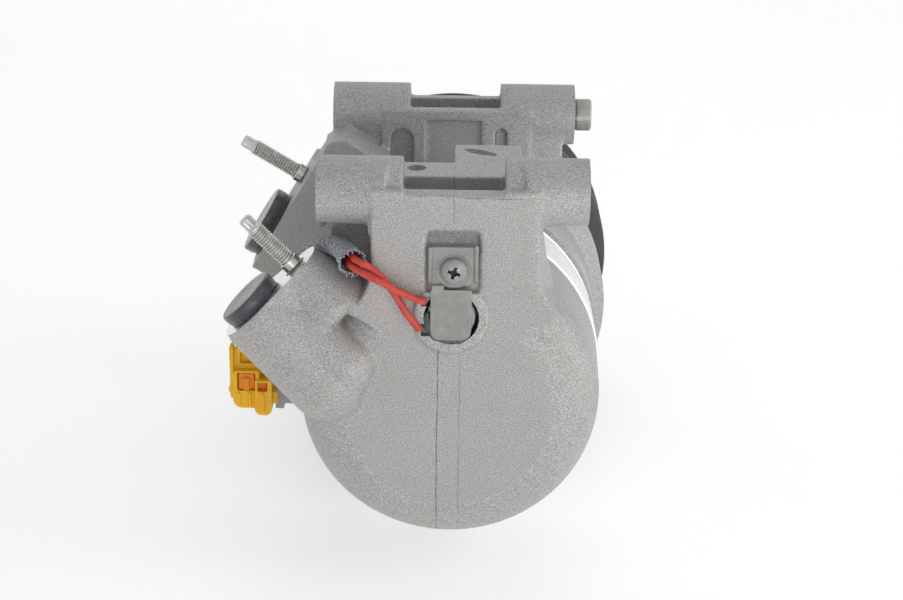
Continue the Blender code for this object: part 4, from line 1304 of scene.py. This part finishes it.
def tube(name, path, outer, inner, look, flare, count=28):
    """An open-ended soft tube with a wall."""
    even = evenly(bend(path), 0.9)
    frames = carried(even)
    order = list(range(len(even)))
    rings = []
    for wall, sequence in ((outer, order), (inner, order[::-1])):
        for i in sequence:
            side, up = frames[i]
            reach = wall * flare(i / (len(even) - 1))
            rings.append([
                (even[i] + side * (reach * math.cos(math.tau * k / count))
                 + up * (reach * math.sin(math.tau * k / count))) * MM
                for k in range(count)
            ])
    return skin(name, rings, look, closed=True, crease=50)


sleeve_path = bend([
    (-68, 48, 14), (-64, 41, 25), (-57, 34.0, 35.5), (-49.5, 27, 46.5), (-41, 17.6, 53.4),
    (-36.6, 8.2, 55.2), (-33.0, -0.6, 54.2),
])
in_sleeve = sleeve_path[9:]
# Each wire's offset in the sleeve, and its way from the sleeve to the protector
WIRES = {
    "a": (-1.3, [(-29.6, -3.6, 51.6), (-26.0, -5.0, 50.2), (-22.6, -5.1, 48.6),
                 (-17.0, -4.2, 45.2), (-12.5, -3.4, 42.8), (-8.6, -3.1, 41.4)]),
    "b": (1.3, [(-29.4, -3.0, 54.6), (-26.4, -2.5, 52.6), (-22.6, -2.5, 49.0),
                (-18.8, -2.6, 43.8), (-14.8, -3.0, 37.0), (-10.6, -3.0, 31.4)]),
}
for letter, (offset, points) in WIRES.items():
    path = beside(in_sleeve, offset) + bend(points)
    own(wire(f"protector_wire_{letter}_look", bend(path), 1.22, RED, 5),
        f"protector_wire_{letter}")
own(tube("sleeve_wall", sleeve_path, 3.1, 2.85, LEAD, mouth), "wire_sleeve")
own(woven("sleeve_weave", sleeve_path, 3.22, SLEEVE, count=16, pitch=12.0, thick=0.25,
          flare=mouth, fray=0.45), "wire_sleeve")

lead_path = bend([
    (-42.2, 156.9, -33.2), (-47.5, 150.0, -38.0), (-50.0, 136.0, -40.5), (-50.0, 118.0, -40.5),
    (-50.2, 98.0, -38.0), (-56.0, 78.0, -30.0), (-63.0, 64.0, -20.0), (-69.0, 58.4, -15.0),
])
own(wire("coil_lead_look", lead_path, 1.38, LEAD, 4), "coil_lead")
own(woven("coil_lead_weave", lead_path, 1.46, LEAD, count=8, pitch=7.0, thick=0.16), "coil_lead")


# ---- connector on the left flank --------------------------------------------------------------
def moulded(name, blocks, cuts, look, voxel):
    """Blocks joined, cut and given one soft skin."""
    base = blocks[0]
    for item in blocks + cuts:
        to_world(item)
    combine(base, blocks[1:], "UNION")
    combine(base, cuts, "DIFFERENCE")
    remeshed(base, voxel, 3)
    coat(base, look)
    base.name = name
    return smooth(base, 40)


own(moulded("connector_housing_look", [
    xz_plate("housing_main", rounded(-79.3, -19.6, -69.6, -4.9, (0.8, 1.6, 3.4, 1.0)), 44.6, 56.0),
    xz_plate("housing_side", rounded(-71.4, -22.0, -65.0, -8.2, (1.2, 0.8, 2.6, 2.6)), 43.4, 55.4),
    xz_plate("housing_tower", rounded(-78.7, -7.0, -66.2, 3.2, (1.0, 1.6, 0.5, 0.5)), 47.2, 55.8),
    xz_plate("housing_strap", rounded(-80.4, -16.2, -78.9, 4.2, 0.6), 45.8, 50.4),
    box("housing_tab", (-65.6, 46.0, -18.2), (-63.0, 52.0, -13.6)),
    box("housing_rib_a", (-77.6, 43.9, -19.0), (-76.6, 46.0, -13.4)),
    box("housing_rib_b", (-73.6, 43.9, -19.0), (-72.6, 46.0, -13.4)),
    box("housing_rib_c", (-69.0, 42.9, -21.0), (-67.8, 45.0, -13.6)),
    rod("housing_barb", 1.1, (-80.0, 46.4, -13.2), (-80.0, 50.0, -13.2), 16),
], [
    box("window_main", (-77.6, 40.0, -12.6), (-71.0, 48.0, -5.7)),
    box("window_side", (-70.2, 40.0, -12.6), (-66.6, 47.0, -9.0)),
    box("tower_window", (-76.6, 44.0, -3.0), (-68.4, 49.6, 1.4)),
    box("strap_slot", (-81.0, 47.4, -9.0), (-78.6, 48.8, 1.0)),
], YELLOW, voxel=0.26), "connector_housing")
own(moulded("connector_lock_look", [
    box("lock_main", (-77.2, 45.2, -12.3), (-71.3, 52.0, -6.0)),
    box("lock_side", (-71.6, 45.6, -12.3), (-67.0, 51.0, -9.3)),
    box("lock_ramp", (-75.4, 44.3, -12.3), (-73.2, 46.0, -7.6)),
], [
    box("lock_slit", (-72.3, 44.0, -13.0), (-71.8, 47.0, -8.0)),
], ORANGE, voxel=0.24), "connector_lock")
own(moulded("connector_clip_look", [
    box("clip_body", (-64.0, 46.8, -18.6), (-53.2, 53.4, -12.2)),
    box("clip_leg_a", (-64.0, 46.8, -20.6), (-60.9, 53.4, -17.6)),
    box("clip_leg_b", (-56.2, 46.8, -19.6), (-53.2, 53.4, -17.6)),
    box("clip_rib", (-60.0, 46.1, -17.8), (-59.2, 47.4, -12.6)),
], [
    box("clip_window", (-58.6, 44.0, -17.0), (-55.4, 49.0, -13.8)),
], GREY, voxel=0.28), "connector_clip")

# ---- scrolls ------------------------------------------------------------------------------------
SCROLL_PITCH = 16.0
SCROLL_WALL = 4.0
ORBIT_R = 3.5  # the crank pin points up at rest
SCROLL_BASE = SCROLL_PITCH / math.tau  # base circle of the involute
SCROLL_START = HEAD_END + JOINT


def spiral(turn, offset, start, end, count=220):
    """An involute between two angles, turned about the shaft."""
    points = []
    for i in range(count + 1):
        angle = start + (end - start) * i / count
        x = SCROLL_BASE * (math.cos(angle) + (angle + offset) * math.sin(angle))
        z = SCROLL_BASE * (math.sin(angle) - (angle + offset) * math.cos(angle))
        points.append((x * math.cos(turn) - z * math.sin(turn),
                       x * math.sin(turn) + z * math.cos(turn)))
    return points


def scroll_wall(name, turn, near, far, lift, end):
    half, start = SCROLL_WALL / 2 / SCROLL_BASE, 1.2 * math.pi
    outline = spiral(turn, half, start, end) + spiral(turn, -half, start, end)[::-1]
    wall = xz_plate(name, [(x, z + lift) for x, z in outline], near, far, TURNED)
    return smooth(wall, 30)


own(turned("fixed_scroll_look", [
    (43.9, 54.2), (43.9, SHELL_END), (SHELL_R - 0.5, SHELL_END), (SHELL_R, SHELL_END - 0.5),
    (SHELL_R, SHELL_END - 3.0), (SHELL_R - 0.35, SHELL_END - 3.4),
    (SHELL_R - 0.35, SHELL_END - 4.6), (SHELL_R, SHELL_END - 5.0),
    (SHELL_R, SCROLL_START + 0.5), (SHELL_R - 0.5, SCROLL_START), (3.2, SCROLL_START), (3.2, 54.2),
], TURNED, steps=90, closed=True, crease=25), "fixed_scroll")
own(scroll_wall("fixed_wall_look", 0.0, 54.1, 78.0, 0.0, 4.9 * math.pi), "fixed_scroll")
own(scroll_wall("orbit_wall_look", math.pi, 54.4, 79.0, ORBIT_R, 4.55 * math.pi),
    "orbiting_scroll", "orbit_body")
own(turned("orbit_plate_look", [
    (0, 86.5), (11.0, 86.5), (11.0, 98.0), (13.6, 98.0), (14.0, 97.6), (14.0, 85.0), (39.6, 85.0),
    (40.0, 84.6), (40.0, 78.8), (39.6, 78.4), (0, 78.4),
], TURNED, steps=80, centre=(0, 0, ORBIT_R)), "orbiting_scroll", "orbit_body")

# ---- dowel sleeve in the front right lug, and the case bolts ----------------------------------------
own(turned("dowel_sleeve_look", [
    (4.3, 36.0), (4.3, 51.2), (4.9, 51.8), (5.5, 51.8), (6.0, 51.2), (6.0, 46.4), (5.8, 46.2),
    (5.8, 45.8), (6.0, 45.6), (6.0, 36.4), (5.6, 36.0),
], DULL, steps=40, closed=True, centre=(0, FRONT_LUG_Y, LUG_Z), axis=(1, 0, 0)), "dowel_sleeve")

BOLT_ROWS = fine_rows([
    (0, 123.5), (4.2, 123.5), (4.55, 123.1), (4.6, 122.6), (4.6, 118.6), (4.3, 118.2), (4.3, 117.9),
], 0.6) + [(2.4, 117.9), (2.4, 60.0), (2.4, 31.6), (1.9, 31.0), (0, 31.0)]


def bolt_rule(radius, height, angle):
    """Knurls the head."""
    if 118.4 < height < 123.0 and radius > 4.3:
        return radius * (1.0 - 0.012 * abs(math.sin(18 * angle)))
    return radius


for i, (x, z) in enumerate(bolt_places(), 1):
    bolt = turned(f"case_bolt_{i}_look", BOLT_ROWS, steps=36, centre=(x, 0, z), crease=32,
                  rule=bolt_rule)
    carve(bolt, [cylinder("socket", 2.6, 3.2, (x, 122.6, z), (0, 1, 0), 6)])
    own(smooth(coat(bolt, ZINC), 28), f"case_bolt_{i}")

# ---- pulley ---------------------------------------------------------------------------------------
PULLEY_R = 63.5
pulley_profile = [  # bearing bore, coil trough and the rear rim
    (27.5, 182.6), (27.5, 161.6), (27.9, 161.2), (30.6, 161.2), (31.0, 161.6), (31.0, 176.4),
    (31.6, 177.0), (53.4, 177.0), (54.0, 176.4), (54.0, 159.5), (54.5, 159.0), (61.6, 159.0),
    (63.1, 159.4), (PULLEY_R, 160.0), (PULLEY_R, 161.3),
]
for k in range(6):  # belt grooves
    y = 161.6 + 3.3 * k
    pulley_profile += [
        (PULLEY_R - 0.15, y - 0.05), (PULLEY_R, y + 0.15), (PULLEY_R, y + 0.35),
        (PULLEY_R - 2.4, y + 1.42), (PULLEY_R - 2.6, y + 1.55), (PULLEY_R - 2.4, y + 1.68),
        (PULLEY_R, y + 2.75),
    ]
pulley_profile += [  # far rim and the ringed face
    (PULLEY_R, 182.0), (63.2, 182.6), (62.6, 183.0), (57.0, 183.0), (56.8, 182.5), (55.4, 182.5),
    (55.2, 183.0), (44.0, 183.0), (43.8, 182.7), (42.6, 182.7), (42.4, 183.0), (27.9, 183.0),
]
own(turned("pulley_look", pulley_profile, BLACK, steps=110, closed=True, crease=25),
    "pulley", "pulley_body")


# ---- clutch ---------------------------------------------------------------------------------------
def armature_slot(k):
    """One of three arc-shaped windows."""
    middle = math.radians(30 + 120 * k)
    outline = [
        (radius * math.cos(middle + math.radians(swing)),
         radius * math.sin(middle + math.radians(swing)))
        for radius, swings in ((43.5, range(-34, 35, 4)), (41.3, range(34, -35, -4)))
        for swing in swings
    ]
    return xz_plate(f"armature_slot_{k}", outline, 180.0, 190.0)


THIRDS = [math.radians(90 + 120 * k) for k in range(3)]

armature = ring("armature_look", 24.0, 55.0, 183.6, 187.6, steps=90, edge=0.5)
carve(armature, [armature_slot(k) for k in range(3)])
own(smooth(coat(armature, DARK_STEEL), 28), "armature_plate", "armature_body")
for k, angle in enumerate(THIRDS):
    own(turned(f"armature_rivet_{k}", [
        (0, 190.1), (1.6, 189.9), (2.3, 189.2), (2.4, 188.4), (1.5, 188.35), (1.5, 187.4),
        (0, 187.4),
    ], ZINC, steps=14, centre=(50.0 * math.cos(angle), 0, 50.0 * math.sin(angle))),
        None, "armature_body")
own(turned("hub_look", [
    (6.8, 191.2), (7.1, 191.5), (17.6, 191.5), (18.0, 191.1), (18.0, 189.8), (17.6, 189.4),
    (12.0, 189.4), (11.0, 188.6), (11.0, 182.4), (10.6, 182.0), (7.1, 182.0), (6.8, 182.3),
], STEEL, steps=48, closed=True), "clutch_hub", "shaft_body")
for k, angle in enumerate(THIRDS):
    out = Vector((math.cos(angle), 0, math.sin(angle)))
    side = Vector((-math.sin(angle), 0, math.cos(angle)))
    leaf = plate(f"leaf_look_{k}", rounded(-5.0, -13.5, 5.0, 13.5, 3.0), 0.25, Matrix((
        (side.x, out.x, 0, out.x * 28.0 * MM),
        (0, 0, 1, 188.7 * MM),
        (side.z, out.z, 0, out.z * 28.0 * MM),
        (0, 0, 0, 1),
    )), STEEL)
    own(smooth(leaf, 30), f"leaf_spring_{k + 1}", "shaft_body")

nut = cylinder("shaft_nut_look", 8.6, 4.2, (0, 194.0, 0), (0, 1, 0), 6)
carve(nut, [
    rod("nut_hole", 6.7, (0, 185, 0), (0, 200, 0), 36),
    turned("nut_chamfer", [(12, 196.2), (12, 194.6), (8.0, 196.2)], steps=40, closed=True),
    turned("nut_chamfer_back", [(12, 191.8), (8.0, 191.8), (12, 193.4)], steps=40, closed=True),
])
own(smooth(coat(nut, ZINC), 25), "shaft_nut", "shaft_body")


# ---- shaft ----------------------------------------------------------------------------------------
def shaft_rule(radius, height, angle):
    """Threads the end that carries the nut."""
    if 189.0 < height < 194.4 and radius > 6.2:
        return radius - 0.28 * thread_ridge(height, angle)
    return radius


SHAFT_ROWS = fine_rows([(0, 195.0), (5.6, 195.0), (6.4, 194.2), (6.4, 189.0)], 0.14) + [
    (6.4, 181.2), (6.6, 181.0), (7.8, 181.0), (8.0, 180.8), (8.0, 122.0), (10.0, 122.0),
    (10.0, 109.7), (12.0, 109.7), (12.0, 103.8), (11.7, 103.5), (0, 103.5),
]
own(turned("drive_shaft_look", SHAFT_ROWS, STEEL, steps=24, crease=32, rule=shaft_rule),
    "drive_shaft", "shaft_body")
own(rod("crank_pin_look", 3.5, (0, 87.2, ORBIT_R), (0, 105, ORBIT_R), 24, STEEL),
    "drive_shaft", "shaft_body")

# ---- field coil, bearings and seal ------------------------------------------------------------------
own(turned("coil_look", [
    (51.3, 173.6), (51.3, 156.7), (50.9, 156.3), (18.3, 156.3), (17.9, 156.7), (17.9, 158.0),
    (18.3, 158.4), (33.0, 158.4), (33.0, 173.6), (33.4, 174.0), (35.0, 174.0), (35.4, 173.5),
    (48.6, 173.5), (49.0, 174.0), (50.9, 174.0),
], DARK_STEEL, steps=90, closed=True), "field_coil")
own(turned("coil_potting", [
    (35.4, 173.5), (36.4, 173.9), (47.6, 173.9), (48.6, 173.5), (48.6, 173.3), (35.4, 173.3),
], RESIN, steps=90, closed=True), None)
snap = ring("snap_look", 17.8, 20.4, 158.8, 160.0, edge=0.15)
carve(snap, [box("snap_gap", (-2.4, 158.0, -24.0), (2.4, 161.0, -14.0))])
own(smooth(coat(snap, STEEL), 28), "coil_snap_ring")
own(turned("inner_race_look", [
    (17.8, 161.6), (18.1, 161.3), (20.5, 161.3), (20.8, 161.6), (20.8, 167.4), (20.1, 168.4),
    (19.9, 170.2), (20.1, 172.0), (20.8, 173.0), (20.8, 178.7), (20.5, 179.0), (18.1, 179.0),
    (17.8, 178.7),
], STEEL, steps=72, closed=True), "bearing_inner_race")
own(turned("outer_race_look", [
    (27.2, 161.8), (26.9, 161.5), (24.7, 161.5), (24.4, 161.8), (24.4, 179.2), (24.7, 179.5),
    (26.9, 179.5), (27.2, 179.2),
], STEEL, steps=72, closed=True), "bearing_outer_race", "pulley_body")
# node, inner and outer radius, start and end along Y, material
for name, inner, outer, start, end, look in (
    ("front_bearing", 8.3, 12.5, 162.0, 176.0, STEEL),
    ("main_bearing", 10.3, 20.0, 110.3, 121.7, STEEL),
    ("shaft_seal", 8.3, 12.5, 124.0, 131.0, SEAL),
    ("seal_ring", 8.5, 12.5, 131.4, 132.6, ZINC),
):
    own(ring(name + "_look", inner, outer, start, end, look), name)
own(ring("front_bearing_shield", 8.9, 11.9, 175.9, 176.15, SEAL, edge=0.08), None)

# ---- finish of every frame node; those not listed are bolts (zinc) or steel --------------------------
NODE_LOOKS = {
    name: look
    for look, names in (
        (CLAMP, "clamp_plate clamp_screw"),
        (ZINC, "discharge_stud suction_stud shaft_nut reed_screw reed_stop seal_ring"),
        (DULL, "dowel_sleeve"),
        (RUBBER, "discharge_port_cap suction_port_cap"),
        (SEAL, "front_o_ring rear_o_ring shaft_seal"),
        (SEALANT, "protector_sealant"),
        (RED, "protector_wire_a protector_wire_b"),
        (SLEEVE, "wire_sleeve"),
        (LEAD, "coil_lead"),
        (YELLOW, "connector_housing"),
        (ORANGE, "connector_lock"),
        (GREY, "connector_clip thermal_protector"),
        (RESIN, "field_coil"),
        (BLACK, "pulley armature_plate"),
        (TURNED, "fixed_scroll orbiting_scroll"),
    )
    for name in names.split()
}
for name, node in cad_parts.items():
    coat(node, NODE_LOOKS.get(name, ZINC if name.startswith("case_bolt") else STEEL))

# ---- stage, in metres from here on ---------------------------------------------------------------------
FLOOR_Z = -0.0645
SWEEP_HALF_WIDTH = 4.5
SWEEP_TURN_Y = 1.1  # where the floor starts to curve up
SWEEP_R = 0.5


def build_sweep():
    """A paper floor that curves up into a back wall."""
    profile = [(-5.0, 0.0), (SWEEP_TURN_Y, 0.0)]
    for k in range(1, 17):
        angle = math.pi / 2 * k / 16
        profile.append((SWEEP_TURN_Y + SWEEP_R * math.sin(angle),
                        SWEEP_R - SWEEP_R * math.cos(angle)))
    profile.append((1.6, 2.2))
    solid = bmesh.new()
    left, right = (
        [solid.verts.new((x, y, FLOOR_Z + z)) for y, z in profile]
        for x in (-SWEEP_HALF_WIDTH, SWEEP_HALF_WIDTH)
    )
    for k in range(len(profile) - 1):
        solid.faces.new((left[k], right[k], right[k + 1], left[k + 1]))
    sweep = bpy.data.objects.new("sweep", mesh_from("sweep", solid))
    scene.collection.objects.link(sweep)
    sweep.data.shade_smooth()
    paper = Look("paper_sweep", colour=(0.93, 0.93, 0.93), roughness=0.42)
    paper.set(Base_Color=paper.mottle(
        paper.noise(scale=2.0), dark=(0.90, 0.90, 0.905), light=(0.95, 0.95, 0.95)))
    paper.set(Emission_Color=(1.0, 1.0, 1.0, 1.0), Emission_Strength=0.38)
    sweep.data.materials.append(paper.material)
    return sweep


def build_world():
    """White all round: dim as a light, brighter to the camera and in reflections."""
    world = bpy.data.worlds.new("studio")
    scene.world = world
    world.use_nodes = True
    tree = world.node_tree
    rays = add_node(tree, "LightPath").outputs
    ambient, to_camera, extra_in_reflections = 0.30, 1.05, 0.42
    seen = add_node(tree, "MapRange", {
        "To Min": ambient, "To Max": to_camera, "Value": rays["Is Camera Ray"],
    })
    shiny = add_node(tree, "Math", {
        0: rays["Is Glossy Ray"], 1: extra_in_reflections, 2: seen.outputs["Result"],
    }, operation="MULTIPLY_ADD")
    feed(tree, tree.nodes["Background"], {
        "Color": (1.0, 1.0, 1.0, 1.0), "Strength": shiny.outputs[0],
    })


def softbox(name, spot, aim, size, power, colour=(1.0, 1.0, 1.0)):
    data = bpy.data.lights.new(name, "AREA")
    data.shape = "RECTANGLE"
    data.size, data.size_y = size
    data.energy = power
    data.color = colour
    lamp = bpy.data.objects.new(name, data)
    lamp.location = spot
    lamp.rotation_euler = (Vector(aim) - Vector(spot)).to_track_quat("-Z", "Y").to_euler()
    scene.collection.objects.link(lamp)


def build_camera():
    tilt, roll = math.radians(21.0), math.radians(0.83)  # below level, about the view axis
    data = bpy.data.cameras.new("camera")
    data.sensor_width = 36.0
    data.lens = 78.299003
    data.clip_start = 0.01
    camera = bpy.data.objects.new("camera", data)
    camera.matrix_world = (
        Matrix.Translation(Vector((0.0, -0.612, 0.276)))
        @ Matrix.Rotation(math.pi / 2 - tilt, 4, "X")
        @ Matrix.Rotation(roll, 4, "Z")
    )
    scene.collection.objects.link(camera)
    scene.camera = camera


build_sweep()
build_world()
softbox("front_box", (0.28, -0.64, -0.06), aim=(0.0, 0.02, -0.03), size=(0.7, 0.34), power=2.15)
softbox("right_box", (0.95, -0.10, 0.35), aim=(0.0, 0.06, 0.02), size=(0.5, 0.9), power=3.0)
softbox("left_box", (-0.95, -0.30, 0.55), aim=(0.0, 0.05, 0.0), size=(0.4, 0.8), power=0.7,
        colour=(0.97, 0.98, 1.0))
softbox("top_box", (0.1, 0.25, 0.95), aim=(0.0, 0.06, 0.0), size=(0.9, 0.6), power=0.8)
softbox("high_box", (0.05, -1.05, 0.75), aim=(0.0, 0.0, 0.02), size=(0.9, 0.6), power=0.9)
build_camera()
scene.view_settings.view_transform = "Standard"
scene.view_settings.look = "None"
